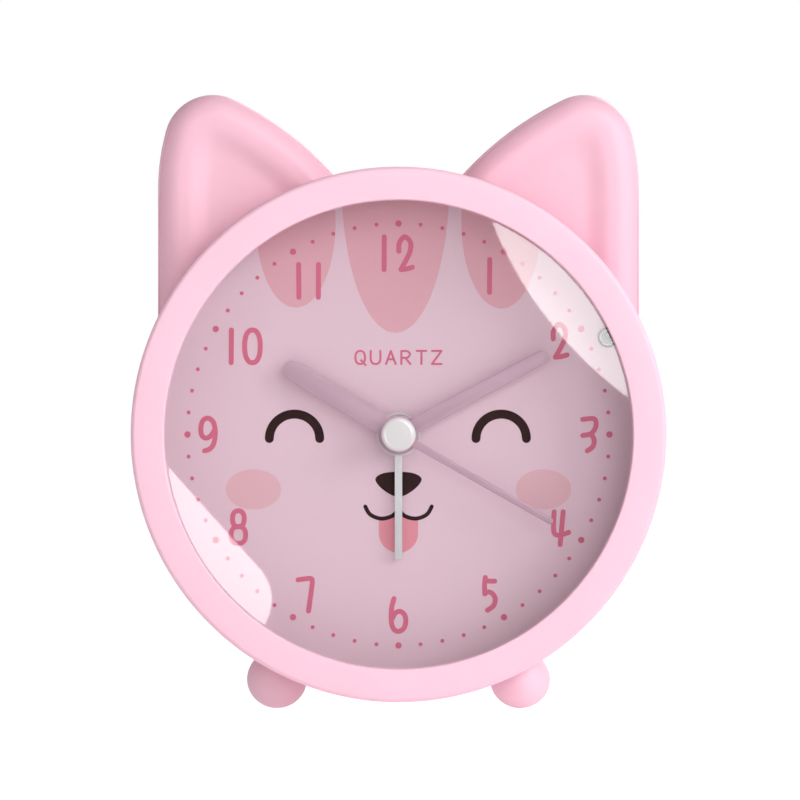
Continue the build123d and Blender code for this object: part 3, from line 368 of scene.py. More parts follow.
def pen_stroke(bm, line, width, f, thickness, closed=False):
    """Line of even width with round ends, laid on the dial."""
    count = len(line)
    normals = []
    for i in range(count):
        before = line[(i - 1) % count] if closed else line[max(i - 1, 0)]
        after = line[(i + 1) % count] if closed else line[min(i + 1, count - 1)]
        dx, dz = after[0] - before[0], after[1] - before[1]
        length = hypot(dx, dz)
        normals.append((-dz / length, dx / length))
    half = width / 2
    left, right = [], []
    for i, ((x, z), (nx, nz)) in enumerate(zip(line, normals)):
        lift = 0.0 if closed else OVERLAP * i / count  # a line that crosses itself lies on itself
        left.append(bm.verts.new(place(x + half * nx, z + half * nz, f - lift)))
        right.append(bm.verts.new(place(x - half * nx, z - half * nz, f - lift)))
    faces = []
    for i in range(count if closed else count - 1):
        n = (i + 1) % count
        faces.append(bm.faces.new((left[i], left[n], right[n], right[i])))
    if not closed:
        for at, first, last, turn in ((0, left[0], right[0], 0), (-1, right[-1], left[-1], 180)):
            (x, z), (nx, nz) = line[at], normals[at]
            start = atan2(nz, nx) + radians(turn)
            cap = [first]
            for step in range(1, 8):
                angle = start + pi * step / 8
                lift = OVERLAP * (count - 1) / count if at else 0.0
                cap.append(bm.verts.new(place(x + half * cos(angle), z + half * sin(angle), f - lift)))
            faces.append(bm.faces.new([*cap, last]))
    extruded(bm, faces, thickness)


# ---------------------------------------------------------------- bezel and lens
def make_bezel():
    """Ring with a soft outer shoulder and a fine inner lip; its back follows the CAD piece."""
    front, rear = stations("front_bezel")
    opening = 46.1
    shoulder = 0.9
    lip = 0.3
    skirt = 50.6
    plate_back = 2.3
    bm = bmesh.new()
    profile = [(opening, plate_back)]
    profile += arc(opening + lip, front + lip, lip, 180, 270, 8)
    profile += arc(BEZEL_R - shoulder, front + shoulder, shoulder, 270, 360, 14)
    profile += [(BEZEL_R, rear - 0.4), (BEZEL_R - 0.4, rear), (skirt, rear), (skirt, plate_back)]
    lathe(bm, profile, steps=256)
    finish_piece("bezel_ring", bm, "bezel_pink", replaces=["front_bezel"])


def make_lens():
    """Shallow dome in a flat flange, lifted by a low step just inside the window."""
    front, rear = stations("lens")
    step = 0.4
    flange_r = (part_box("lens")[1].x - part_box("lens")[0].x) / 2 / MM
    thickness = 1.8
    dome_r = 46.08
    flange = rear - thickness
    rise = flange - front
    curve = (dome_r**2 + rise**2) / (2 * rise)

    def dome(r, apex):
        return apex + curve - sqrt(curve**2 - r**2)

    bm = bmesh.new()
    radii = [dome_r * i / 48 for i in range(49)]
    profile = [(r, dome(r, front - step)) for r in radii]
    profile += [(dome_r, flange), (flange_r, flange), (flange_r, rear)]
    profile += [(r, dome(r, front + thickness)) for r in reversed(radii)]
    lathe(bm, profile, steps=192)
    finish_piece("lens_dome", bm, "lens_clear", replaces=["lens"], sharp=30)


# ---------------------------------------------------------------- ears
EAR_FRONT, EAR_BACK = stations("ear_right")
EAR_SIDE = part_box("ear_right")[1].x / MM
DRUM_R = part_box("housing")[1].x / MM
EAR_ROOT = (9.6, 48.0)  # inside the drum, on the same circle as the next two
EAR_BULGE = (20.6, 59.1)
EAR_TIP_IN = (32.8, 66.7)
EAR_TIP_OUT = (46.3, 60.6)
EAR_EDGE = 4.6  # radius of the ear's rounded edge
DISH_START, DISH_END = 5.8, 10.6  # from the ear's outline
DISH_DEPTH = 0.85
EAR_SINK = 0.15  # how far the ear's root reaches into the drum
EAR_ROWS = 44  # from the outline to the drum, closest together at the outline
EAR_CROWDING = 1.8
OUTLINE_STEP = 0.7
FALLOFF = 7  # power of the smooth distance


def circle_through(a, b, c):
    """Centre and radius of the circle through three points."""
    d = 2 * (a[0] * (b[1] - c[1]) + b[0] * (c[1] - a[1]) + c[0] * (a[1] - b[1]))
    squares = [p[0] ** 2 + p[1] ** 2 for p in (a, b, c)]
    x = (squares[0] * (b[1] - c[1]) + squares[1] * (c[1] - a[1]) + squares[2] * (a[1] - b[1])) / d
    z = (squares[0] * (c[0] - b[0]) + squares[1] * (a[0] - c[0]) + squares[2] * (b[0] - a[0])) / d
    return (x, z), hypot(a[0] - x, a[1] - z)


def tangent_arc(start, end, direction):
    """Points after start on the arc that leaves start along direction and reaches end, and
    its last direction."""
    normal = Vector((-direction.y, direction.x))
    chord = Vector(end) - Vector(start)
    radius = chord.length_squared / (2 * chord.dot(normal))
    middle = Vector(start) + normal * radius
    turn = -2 * direction.angle_signed(chord)
    count = max(int(abs(turn * radius) / OUTLINE_STEP), 4)
    points = []
    for i in range(1, count + 1):
        points.append(tuple(middle + Matrix.Rotation(turn * i / count, 2) @ (Vector(start) - middle)))
    return points, Matrix.Rotation(turn, 2) @ direction


def ear_outline():
    """Free edge of the right ear, from the drum over the tip and down the outer side."""
    (x, z), radius = circle_through(EAR_ROOT, EAR_BULGE, EAR_TIP_IN)
    start = atan2(EAR_ROOT[1] - z, EAR_ROOT[0] - x)
    end = atan2(EAR_TIP_IN[1] - z, EAR_TIP_IN[0] - x)
    count = ceil(abs(end - start) * radius / OUTLINE_STEP)
    first = []
    for i in range(count + 1):
        angle = start + (end - start) * i / count
        first.append((x + radius * cos(angle), z + radius * sin(angle)))
    direction = (Vector(first[-1]) - Vector(first[-2])).normalized()
    tip, direction = tangent_arc(EAR_TIP_IN, EAR_TIP_OUT, direction)
    drop = direction.angle(Vector((0, -1))) / 2
    shoulder_z = EAR_TIP_OUT[1] - (EAR_SIDE - EAR_TIP_OUT[0]) / (sin(drop) / cos(drop))
    shoulder, direction = tangent_arc(EAR_TIP_OUT, (EAR_SIDE, shoulder_z), direction)
    base_z = sqrt(DRUM_R**2 - EAR_SIDE**2)
    count = ceil((shoulder_z - base_z) / OUTLINE_STEP)
    side = [(EAR_SIDE, shoulder_z + (base_z - shoulder_z) * i / count) for i in range(1, count + 1)]
    return [p for p in first if hypot(*p) > DRUM_R] + tip + shoulder + side


def make_ears():
    """Soft ears with a rolled rim and a smooth hollow that opens towards the bezel."""
    outline = ear_outline()
    lengths = [hypot(b[0] - a[0], b[1] - a[1]) for a, b in zip(outline, outline[1:])]
    straight = sqrt(pi) * gamma((FALLOFF - 1) / 2) / gamma(FALLOFF / 2)
    base_in = atan2(outline[0][1], outline[0][0])
    base_out = atan2(outline[-1][1], outline[-1][0])
    seat = DRUM_R - EAR_SINK
    grid = []
    for i, (x, z) in enumerate(outline):
        angle = base_in + (base_out - base_in) * i / (len(outline) - 1)
        bx, bz = seat * cos(angle), seat * sin(angle)
        line = []
        for k in range(EAR_ROWS + 1):
            s = (k / EAR_ROWS) ** EAR_CROWDING
            line.append((x + (bx - x) * s, z + (bz - z) * s))
        grid.append(line)

    def distances(x, z):
        """Distance to the outline, and a smooth one that has no creases."""
        nearest = min(hypot(x - px, z - pz) for px, pz in outline)
        if nearest < 1.5:
            return nearest, nearest
        total = 0.0
        for (ax, az), (cx, cz), length in zip(outline, outline[1:], lengths):
            total += length * hypot(x - (ax + cx) / 2, z - (az + cz) / 2) ** -FALLOFF
        return nearest, (total / straight) ** (-1 / (FALLOFF - 1))

    def roll(distance):
        """How far back the rounded edge lies."""
        if distance >= EAR_EDGE:
            return 0.0
        return EAR_EDGE - sqrt(max(EAR_EDGE**2 - (EAR_EDGE - distance) ** 2, 0.0))

    def hollow(distance):
        """Depth of the dish."""
        t = min(max((distance - DISH_START) / (DISH_END - DISH_START), 0.0), 1.0)
        return DISH_DEPTH * t * t * (3 - 2 * t)

    for name, node, mirror in (("ear_shell_right", "ear_right", 1), ("ear_shell_left", "ear_left", -1)):
        bm = bmesh.new()
        columns = []
        for line in grid:
            front, rear = [], []
            for x, z in line:
                nearest, soft = distances(x, z)
                front.append((x, z, EAR_FRONT + roll(nearest) + hollow(soft)))
                rear.append((x, z, EAR_BACK - roll(nearest)))
            x, z = line[0]
            flat = EAR_BACK - EAR_FRONT - 2 * EAR_EDGE
            wall = [(x, z, EAR_FRONT + EAR_EDGE + flat * k / 4) for k in (1, 2, 3)]
            path = front[::-1] + wall + rear
            columns.append([bm.verts.new(place(mirror * px, pz, f)) for px, pz, f in path])
        for here, there in zip(columns, columns[1:]):
            for k in range(len(here) - 1):
                bm.faces.new((here[k], here[k + 1], there[k + 1], there[k]))
            bm.faces.new((here[-1], here[0], there[0], there[-1]))
        bm.faces.new(columns[0])
        bm.faces.new(columns[-1][::-1])
        bmesh.ops.dissolve_degenerate(bm, dist=1e-6, edges=bm.edges)
        finish_piece(name, bm, "case_pink", replaces=[node], sharp=60)


# ---------------------------------------------------------------- feet
FOOT_R = 6.0
FOOT_HEEL = 5.75  # from the ball's middle down to the table
FOOT_SEAT = 0.05  # between a foot and the drum it sits on


def make_feet():
    """Balls with a hollowed seat for the drum and a slightly flattened heel."""
    turns = [pi * i / 60 for i in range(61)]
    for side, sign in (("right", 1), ("left", -1)):
        low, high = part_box("foot_" + side)
        outer = high.x if sign > 0 else -low.x
        middle = Vector((sign * (outer - FOOT_R * MM), (low.y + high.y) / 2, low.z + FOOT_HEEL * MM))
        bm = bmesh.new()
        profile = [(FOOT_R * sin(t), station(middle.y) - FOOT_R * cos(t)) for t in turns]
        lathe(bm, profile, middle.x / MM, (middle.z - AXIS_Z) / MM, steps=120)
        for vert in bm.verts:
            if vert.co.z < middle.z:
                vert.co.z = middle.z + (vert.co.z - middle.z) * FOOT_HEEL / FOOT_R
            reach = hypot(vert.co.x, vert.co.z - AXIS_Z) / ((DRUM_R + FOOT_SEAT) * MM)
            if reach < 1:
                vert.co.x /= reach
                vert.co.z = AXIS_Z + (vert.co.z - AXIS_Z) / reach
        # the balls take the lighter copy of the case pink, painted light in place of the light the bezel
        # keeps off them
        finish_piece("foot_ball_" + side, bm, "case_pink", material=FOOT_PINK_PAINTED_LIGHT, replaces=["foot_" + side])


# ---------------------------------------------------------------- tail
TAIL_ROOT = 19.5  # above the table
TAIL_HOOK = 9.2  # between the parts that go down and up
TAIL_BEND = 4.5
TAIL_WAIST = 0.88  # its thinnest part against its ends
TAIL_STEP = 0.6


def make_tail():
    """Tail with a slight waist on the centreline of its CAD tube; its round tip curls up."""
    low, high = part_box("tail")
    radius = (high.x - low.x) / 2 / MM
    root_f, end_f = station(low.y), station(high.y) - radius
    floor_z = (low.z - AXIS_Z) / MM
    root_z = TAIL_ROOT - AXIS_Z / MM
    down_f = end_f - TAIL_HOOK
    bend = TAIL_BEND
    low_z = floor_z + radius
    tip_z = (high.z - AXIS_Z) / MM - radius
    path = [(root_f, root_z)]
    path += arc(down_f - bend, root_z - bend, bend, 90, 0, 12)
    path += arc(down_f + bend, low_z + bend, bend, 180, 270, 12)
    path += arc(end_f - bend, low_z + bend, bend, 270, 360, 12)
    path.append((end_f, tip_z))
    line = [path[0]]
    for a, b in zip(path, path[1:]):
        pieces = max(ceil(hypot(b[0] - a[0], b[1] - a[1]) / TAIL_STEP), 1)
        for k in range(1, pieces + 1):
            line.append((a[0] + (b[0] - a[0]) * k / pieces, a[1] + (b[1] - a[1]) * k / pieces))
    total = sum(hypot(b[0] - a[0], b[1] - a[1]) for a, b in zip(line, line[1:]))
    bm = bmesh.new()
    around = 48
    rings = []
    walked = 0.0

    def ring(f, z, direction, r):
        """Circle of vertices square to the direction."""
        across = (-direction[1], direction[0])
        made = []
        for k in range(around):
            angle = 2 * pi * k / around
            x, up = r * cos(angle), r * sin(angle)
            made.append(bm.verts.new(place(x, z + across[1] * up, f + across[0] * up)))
        return made

    for i, (f, z) in enumerate(line):
        before, after = line[max(i - 1, 0)], line[min(i + 1, len(line) - 1)]
        if i:
            walked += hypot(f - before[0], z - before[1])
        length = hypot(after[0] - before[0], after[1] - before[1])
        direction = ((after[0] - before[0]) / length, (after[1] - before[1]) / length)
        waist = TAIL_WAIST + (1 - TAIL_WAIST) * cos(pi * walked / total) ** 2
        rings.append(ring(f, z, direction, radius * waist))
    for k in range(1, 12):
        angle = radians(90 * k / 12)
        rings.append(ring(end_f, tip_z + radius * sin(angle), (0, 1), radius * cos(angle)))
    for here, there in zip(rings, rings[1:]):
        for k in range(around):
            n = (k + 1) % around
            bm.faces.new((here[k], here[n], there[n], there[k]))
    bm.faces.new(rings[0][::-1])
    bm.faces.new(rings[-1])
    finish_piece("tail_curl", bm, "case_pink", replaces=["tail"], sharp=60)


# ---------------------------------------------------------------- what is printed on the dial
DIAL_F = stations("dial")[0]
INK = 0.02  # thickness of each printed layer
PRINT_R = 47.4
PEN = 1.0
DOT_RING = 41.9
HOUR_DOT, MINUTE_DOT = 0.64, 0.4
PETALS = ((-0.6, 50.0, 10.7, 29.8), (-20.4, 42.0, 7.9, 16.8), (20.4, 42.0, 7.9, 17.0))
CHEEKS = ((-28.8, -10.9, 5.5, 4.0), (28.8, -10.9, 5.5, 4.0))  # ovals: x, z and half sizes
TONGUE_TOP = ((-3.9, -16.6), (-1.2, -16.1), (0.0, -15.2), (1.2, -16.1), (3.9, -16.6))
TONGUE_Z, TONGUE_R = -19.6, 3.9
EYES_X, EYE_Z, EYE_R = (-20.65, 20.4), -0.8, 5.0
EYE_HEIGHT = 0.97  # against its half width
EYE_PEN, MOUTH_PEN = 1.8, 0.8
NOSE = ((-4.6, -9.0), (-3.2, -7.75), (0.0, -7.4), (3.2, -7.75),
        (4.6, -9.0), (2.9, -11.1), (0.0, -12.4), (-2.9, -11.1))
MOUTH = ((6.6, -14.3), (5.6, -15.9), (3.5, -16.7), (1.3, -16.2), (0.0, -14.9))  # its right half
WORD = "QUARTZ"
WORD_X, WORD_Z, WORD_PITCH = -7.6, 15.3, 3.04
LETTER_W, LETTER_H, LETTER_PEN = 1.9, 2.6, 0.42
SQUARENESS = 2.3  # 2 would make the round figures true ovals
# strokes of each figure and letter, from 0 to 1 across its width and up its height
GLYPHS = {
    "0": [("loop", (0.5, 0.5, 0.5, 0.5))],
    "1": [("line", ((0.56, 1.0), (0.44, 0.0)))],
    "2": [
        ("line", ((0.08, 0.56), (0.1, 0.8), (0.46, 1.0), (0.86, 0.84), (0.86, 0.58), (0.56, 0.28),
                  (0.22, 0.0))),
        ("line", ((0.22, 0.0), (0.6, 0.02), (1.0, 0.07))),
    ],
    "3": [
        ("line", ((0.0, 0.96), (0.4, 0.98), (0.82, 0.98), (0.97, 0.88), (0.94, 0.72), (0.66, 0.54),
                  (0.3, 0.49), (0.0, 0.47))),
        ("line", ((0.3, 0.49), (0.6, 0.49), (0.8, 0.38), (0.83, 0.24), (0.68, 0.1), (0.33, 0.0))),
    ],
    "4": [
        ("line", ((0.1, 1.0), (0.06, 0.6), (0.1, 0.36), (0.3, 0.28), (0.65, 0.31), (1.0, 0.37))),
        ("line", ((0.66, 1.0), (0.47, 0.0))),
    ],
    "5": [
        ("line", ((0.12, 1.0), (0.06, 0.75), (0.08, 0.5))),
        ("line", ((0.1, 0.91), (0.5, 0.89), (0.9, 0.89))),
        ("line", ((0.08, 0.5), (0.4, 0.56), (0.78, 0.48), (0.95, 0.32), (0.78, 0.13), (0.3, 0.0))),
    ],
    "6": [
        ("line", ((0.2, 1.0), (0.06, 0.78), (0.0, 0.5), (0.04, 0.22), (0.22, 0.05), (0.52, 0.0), (0.86, 0.09),
                  (1.0, 0.29), (0.92, 0.5), (0.62, 0.61), (0.3, 0.56), (0.08, 0.4))),
    ],
    "7": [("line", ((0.0, 0.95), (0.45, 0.98), (0.88, 0.99), (0.98, 0.9), (0.93, 0.68), (0.72, 0.0)))],
    "8": [("loop", (0.5, 0.755, 0.4, 0.245)), ("loop", (0.5, 0.26, 0.5, 0.26))],
    "9": [
        ("line", ((0.92, 0.62), (0.66, 0.45), (0.34, 0.39), (0.06, 0.48), (0.0, 0.7), (0.14, 0.92),
                  (0.47, 1.0), (0.82, 0.9), (0.97, 0.68), (0.98, 0.43), (0.86, 0.2), (0.62, 0.06),
                  (0.26, 0.0))),
    ],
    "Q": [("loop", (0.5, 0.5, 0.5, 0.5)), ("line", ((0.6, 0.28), (1.05, -0.08)))],
    "U": [
        ("line", ((0.0, 1.0), (0.0, 0.35), (0.18, 0.07), (0.5, 0.0), (0.82, 0.07), (1.0, 0.35), (1.0, 1.0))),
    ],
    "A": [
        ("line", ((0.0, 0.0), (0.5, 1.0))),
        ("line", ((0.5, 1.0), (1.0, 0.0))),
        ("line", ((0.2, 0.36), (0.8, 0.36))),
    ],
    "R": [
        ("line", ((0.0, 0.0), (0.0, 1.0))),
        ("line", ((0.0, 0.98), (0.6, 0.98), (0.9, 0.75), (0.6, 0.48), (0.0, 0.48))),
        ("line", ((0.4, 0.48), (0.95, 0.0))),
    ],
    "T": [("line", ((0.0, 1.0), (1.0, 1.0))), ("line", ((0.5, 1.0), (0.5, 0.0)))],
    "Z": [
        ("line", ((0.0, 1.0), (1.0, 1.0))),
        ("line", ((1.0, 1.0), (0.0, 0.0))),
        ("line", ((0.0, 0.0), (1.0, 0.0))),
    ],
}
NUMERAL_H = 6.5
# hour: its figures, each with the middle and width of its strokes' centreline
NUMERALS = {
    1: (("1", 18.1, 31.5, 0.5),),
    2: (("2", 32.0, 18.6, 3.0),),
    3: (("3", 37.95, 0.0, 2.7),),
    4: (("4", 32.2, -18.6, 3.2),),
    5: (("5", 18.15, -31.65, 2.4),),
    6: (("6", 0.0, -35.85, 2.9),),
    7: (("7", -18.5, -31.8, 2.9),),
    8: (("8", -31.8, -18.4, 2.9),),
    9: (("9", -37.8, 0.0, 2.9),),
    10: (("1", -33.2, 17.5, 0.5), ("0", -29.0, 17.5, 3.1)),
    11: (("1", -19.8, 30.5, -0.5), ("1", -15.9, 30.5, 0.2)),
    12: (("1", -2.84, 36.0, 0.3), ("2", 1.3, 36.0, 2.9)),
}


def draw_glyph(bm, glyph, x, z, width, height, pen, f):
    """One figure or letter, its middle at (x, z)."""
    for layer, (kind, shape) in enumerate(GLYPHS[glyph]):
        f -= 1.5 * OVERLAP * min(layer, 1)
        if kind == "line":
            points = [(x + (px - 0.5) * width, z + (pz - 0.5) * height) for px, pz in shape]
            line = smooth_line(points) if len(points) > 2 else points
            pen_stroke(bm, line, pen, f, INK)
        else:
            cx, cz, rx, rz = shape
            ring = []
            for step in range(40):
                angle = 2 * pi * step / 40
                reach = abs(cos(angle)) ** SQUARENESS + abs(sin(angle)) ** SQUARENESS
                reach **= -1 / SQUARENESS
                px = cx + rx * cos(angle) * reach
                pz = cz + rz * sin(angle) * reach
                ring.append((x + (px - 0.5) * width, z + (pz - 0.5) * height))
            pen_stroke(bm, ring, pen, f, INK, closed=True)


def oval(x, z, rx, rz, steps=64):
    """Closed outline with half sizes rx and rz."""
    turns = [2 * pi * i / steps for i in range(steps)]
    return [(x + rx * cos(turn), z + rz * sin(turn)) for turn in turns]


def turned(outline):
    """The same closed outline, started at its highest point."""
    top = max(range(len(outline)), key=lambda i: outline[i][1])
    return outline[top:] + outline[:top]


def make_dial_print():
    """Petals, a plain cat's face, the figures, the dots and a word, in thin layers of ink."""
    layer = DIAL_F - INK / 2  # each layer is half sunk into what is below it

    bm = bmesh.new()
    for x, z, rx, rz in PETALS:
        inside = [p for p in turned(oval(x, z, rx, rz, 96)) if hypot(*p) < PRINT_R]
        first, last = (atan2(pz, px) for px, pz in (inside[-1], inside[0]))
        edge = [first + (last - first) * i / 24 for i in range(25)]
        plate(bm, inside + [(PRINT_R * cos(a), PRINT_R * sin(a)) for a in edge], layer, INK)
    finish_piece("dial_petals", bm, "dial_card", material=PRINT_PETAL)

    bm = bmesh.new()
    for cheek in CHEEKS:
        plate(bm, oval(*cheek), layer, INK)
    finish_piece("dial_cheeks", bm, "dial_card", material=PRINT_CHEEK)

    bm = bmesh.new()
    plate(bm, [*TONGUE_TOP, *arc(0.0, TONGUE_Z, TONGUE_R, 0, -180, 24)], layer, INK)
    finish_piece("dial_tongue", bm, "dial_card", material=PRINT_TONGUE)

    bm = bmesh.new()
    for x in EYES_X:
        lid = [(px, EYE_Z + (pz - EYE_Z) * EYE_HEIGHT) for px, pz in arc(x, EYE_Z, EYE_R, 180, 0, 32)]
        pen_stroke(bm, lid, EYE_PEN, layer, INK)
    plate(bm, smooth_line(NOSE, closed=True), layer, INK)
    for side in (-1, 1):
        half = smooth_line([(side * x, z) for x, z in MOUTH])
        pen_stroke(bm, half, MOUTH_PEN, layer - INK / 2, INK)
    finish_piece("dial_face", bm, "dial_card", material=PRINT_BROWN)

    bm = bmesh.new()
    top = layer - INK
    for figures in NUMERALS.values():
        for glyph, x, z, width in figures:
            draw_glyph(bm, glyph, x, z, width, NUMERAL_H, PEN, top)
    for minute in range(60):
        angle = 2 * pi * minute / 60
        radius = MINUTE_DOT if minute % 5 else HOUR_DOT
        plate(bm, oval(DOT_RING * sin(angle), DOT_RING * cos(angle), radius, radius, 24), top, INK)
    for i, letter in enumerate(WORD):
        draw_glyph(bm, letter, WORD_X + WORD_PITCH * i, WORD_Z, LETTER_W, LETTER_H, LETTER_PEN, top)
    finish_piece("dial_numerals", bm, "dial_card", material=PRINT_PINK)


# ---------------------------------------------------------------- hands
HAND_EDGE = 0.09  # width of the eased edges
LIP_H = 0.55
LIP_GAP = 0.1  # between the ring and the hour hand in front of it


def make_hand(name, node, body, slot, root, tip, hub, round_end=True, lip=False, material=None):
    """Flat stamped hand with eased edges, pointing where its CAD blade points.

    root and tip are its widths, hub is its hub's radius, and lip adds a raised ring to the hub, white as a
    painted highlight on its edge."""
    front, rear = stations(node)
    x, z = far_point(node)
    length = hypot(x, z)
    ux, uz = x / length, z / length
    reach = length - tip / 2 if round_end else length
    outline = []

    def add(along, across):
        outline.append((along * ux - across * uz, along * uz + across * ux))

    edge = atan2(root / 2, sqrt(hub**2 - (root / 2) ** 2))
    for i in range(29):
        angle = edge + (2 * pi - 2 * edge) * i / 28
        add(hub * cos(angle), hub * sin(angle))
    if round_end:
        for i in range(15):
            angle = -pi / 2 + pi * i / 14
            add(reach + tip / 2 * cos(angle), tip / 2 * sin(angle))
    else:
        add(reach, -tip / 2)
        add(reach, tip / 2)
    bm = bmesh.new()
    plate(bm, outline, front, rear - front)
    rims = [e for e in bm.edges if len(e.link_faces) == 2 and e.calc_face_angle(0) > radians(60)]
    rims = [e for e in rims if abs(e.verts[0].co.y - e.verts[1].co.y) < MERGE]
    bmesh.ops.bevel(bm, geom=rims, offset=HAND_EDGE * MM, segments=2, profile=0.5, affect="EDGES")
    if lip:
        top = front - min(LIP_H, front - stations("hour_hand")[1] - LIP_GAP)
        rise = [(hub - 0.34, front + 0.05), (hub - 0.33, top + 0.05), (hub - 0.28, top)]
        rise += [(hub - 0.06, top), (hub, top + 0.06), (hub, front + 0.05)]
        rim = bmesh.new()
        lathe(rim, rise, steps=96)
        # the ring is white rather than the hand's silver: a painted highlight along the hub's edge
        finish_piece(name + "_rim_painted_highlight", rim, slot, body=body, material=MATERIALS["cap_white"])
    finish_piece(name, bm, slot, body=body, material=material, replaces=[node], sharp=50)


def far_point(node):
    """(x, z) of the end of a hand that is furthest from the dial's axis, on its middle line."""
    points = [(v.co.x / MM, (v.co.z - AXIS_Z) / MM) for v in frame["nodes"][node].data.vertices]
    reach = max(hypot(*p) for p in points)
    ends = [p for p in points if hypot(*p) > reach - 0.02]
    x = sum(p[0] for p in ends) / len(ends)
    z = sum(p[1] for p in ends) / len(ends)
    return x * reach / hypot(x, z), z * reach / hypot(x, z)


def make_hands():
    """Alarm, hour, minute and second hands, and the cap on the last."""
    make_hand("blade_alarm", "alarm_hand", "alarm", "alarm_silver", 1.5, 1.5, 4.3,
              round_end=False, lip=True)
    make_hand("blade_hour", "hour_hand", "hour", "hand_mauve", 3.9, 3.9, 3.95)
    # the minute and second hands take the darker copy of the hand mauve, painted shade
    make_hand("blade_minute", "minute_hand", "minute", "hand_mauve", 3.0, 2.8, 2.6, material=HAND_MAUVE_PAINTED_SHADE)
    make_hand("blade_second", "second_hand", "second_arbor", "hand_mauve", 1.5, 1.3, 2.2,
              material=HAND_MAUVE_PAINTED_SHADE)
    front, rear = stations("second_hand_cap")
    cap_r, edge_r = 3.4, 0.8
    bm = bmesh.new()
    profile = [(0.0, front), (2.2, front + 0.01), (2.45, front + 0.03)]
    profile += arc(cap_r - edge_r, front + edge_r + 0.04, edge_r, 280, 360, 12)
    profile += [(cap_r, rear - 0.3), (cap_r - 0.2, rear - 0.1), (1.6, rear - 0.1), (1.6, rear), (0.0, rear)]
    lathe(bm, profile, steps=96)
    finish_piece("hub_cap", bm, "cap_white", body="second_arbor", replaces=["second_hand_cap"], sharp=50)


# ---------------------------------------------------------------- night light beside the 2
def make_lamp():
    """Small lamp: a dark collar, a light ring and a domed tip."""
    x, z = centre("led_lamp")
    low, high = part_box("led_lamp")
    front = station(low.y)
    flange_r = (high.x - low.x) / 2 / MM
    dome_r = 1.15
    collar_f = front + 3.9
    step_r = 1.62
    bm = bmesh.new()
    collar = [(step_r, collar_f + 1.0), (step_r, collar_f + 0.1), (step_r + 0.1, collar_f)]
    collar += [(flange_r - 0.1, collar_f), (flange_r, collar_f + 0.1), (flange_r, collar_f + 1.0)]
    lathe(bm, collar, x, z, steps=64)
    finish_piece("lamp_collar", bm, "lamp_clear", material=MATERIALS["black_plastic"])
    bm = bmesh.new()
    step = [(dome_r, collar_f + 0.9), (dome_r, collar_f - 0.1), (dome_r + 0.12, collar_f - 0.2)]
    step += [(step_r - 0.12, collar_f - 0.2), (step_r, collar_f - 0.1), (step_r, collar_f + 0.9)]
    lathe(bm, step, x, z, steps=64)
    finish_piece("lamp_step", bm, "lamp_clear", material=LAMP_RING)
    bm = bmesh.new()
    dome = [(0.0, front), *arc(0.0, front + dome_r, dome_r, 280, 360, 12)]
    dome += [(dome_r, collar_f + 0.9), (0.0, collar_f + 0.9)]
    lathe(bm, dome, x, z, steps=64)
    finish_piece("lamp_dome", bm, "lamp_clear", replaces=["led_lamp"])


# ---------------------------------------------------------------- floor, light and background
FLOOR_SEEN = 0.3  # share of the floor's own light and shade that shows
FLOOR_GLOW = 0.93
FLOOR_BOUNCE = 0.36
FLOOR_HALF = 6.0  # metres
AMBIENT = 0.18  # the world's light on the object
MIRRORED = (0.03, 0.75)  # the world in reflections, straight behind the camera and elsewhere
DARK_SPREAD = (-0.95, -0.35)  # Y of the directions between which the one turns into the other
GLEAM_Y = FRONT_Y - 1.5
LAMPS = (  # name, place, side in metres, watts, whether it shows in reflections
    ("key", (0.590, GLEAM_Y, AXIS_Z + 0.456), 0.9, 6.0, False),
    ("front", (-0.15, -1.45, 0.05), 0.5, 1.2, False),
    ("side", (1.15, -0.64, 0.55), 0.7, 9.6, True),
    ("top", (0.25, -0.5, 1.3), 0.6, 3.0, True),
    ("fill", (-0.95, -1.15, 0.12), 0.7, 1.8, True),
    ("rear", (0.9, 1.7, 1.1), 0.9, 16.0, True),
)


def make_floor():
    """Pale floor: nearly white to the camera, with a softer glow of its own on the object."""
    finish = Finish("floor_white")
    pale = (FLOOR_SEEN, FLOOR_SEEN, FLOOR_SEEN, 1.0)
    finish.vary_colour(finish.noise(60.0), scaled(pale, 0.985), pale)
    finish.vary_roughness(finish.noise(20.0), 0.55, 0.7)
    finish.set(Emission_Color=(1, 1, 1, 1), Emission_Strength=FLOOR_GLOW)
    bounce = finish.nodes.new("ShaderNodeBsdfPrincipled")
    bounce.inputs["Base Color"].default_value = (0.8, 0.8, 0.8, 1.0)
    bounce.inputs["Roughness"].default_value = 1.0
    bounce.inputs["Emission Color"].default_value = (1, 1, 1, 1)
    bounce.inputs["Emission Strength"].default_value = FLOOR_BOUNCE
    path = finish.nodes.new("ShaderNodeLightPath")
    mix = finish.nodes.new("ShaderNodeMixShader")
    finish.links.new(path.outputs["Is Camera Ray"], mix.inputs["Fac"])
    finish.links.new(bounce.outputs["BSDF"], mix.inputs[1])
    finish.links.new(finish.shader.outputs["BSDF"], mix.inputs[2])
    finish.links.new(mix.outputs["Shader"], finish.output.inputs["Surface"])
    mesh = bpy.data.meshes.new("floor")
    bm = bmesh.new()
    bmesh.ops.create_grid(bm, x_segments=8, y_segments=8, size=FLOOR_HALF)
    bm.to_mesh(mesh)
    bm.free()
    mesh.materials.append(finish.material)
    floor = bpy.data.objects.new("floor", mesh)
    floor.visible_glossy = False
    bpy.context.scene.collection.objects.link(floor)


def make_light(name, at, size, power, mirrored):
    """Soft square lamp aimed at the dial."""
    data = bpy.data.lights.new(name, "AREA")
    data.shape = "SQUARE"
    data.size = size
    data.energy = power
    lamp = bpy.data.objects.new(name, data)
    lamp.location = at
    lamp.rotation_euler = (place(0, 0, 5) - Vector(at)).to_track_quat("-Z", "Y").to_euler()
    lamp.visible_glossy = mirrored
    bpy.context.scene.collection.objects.link(lamp)


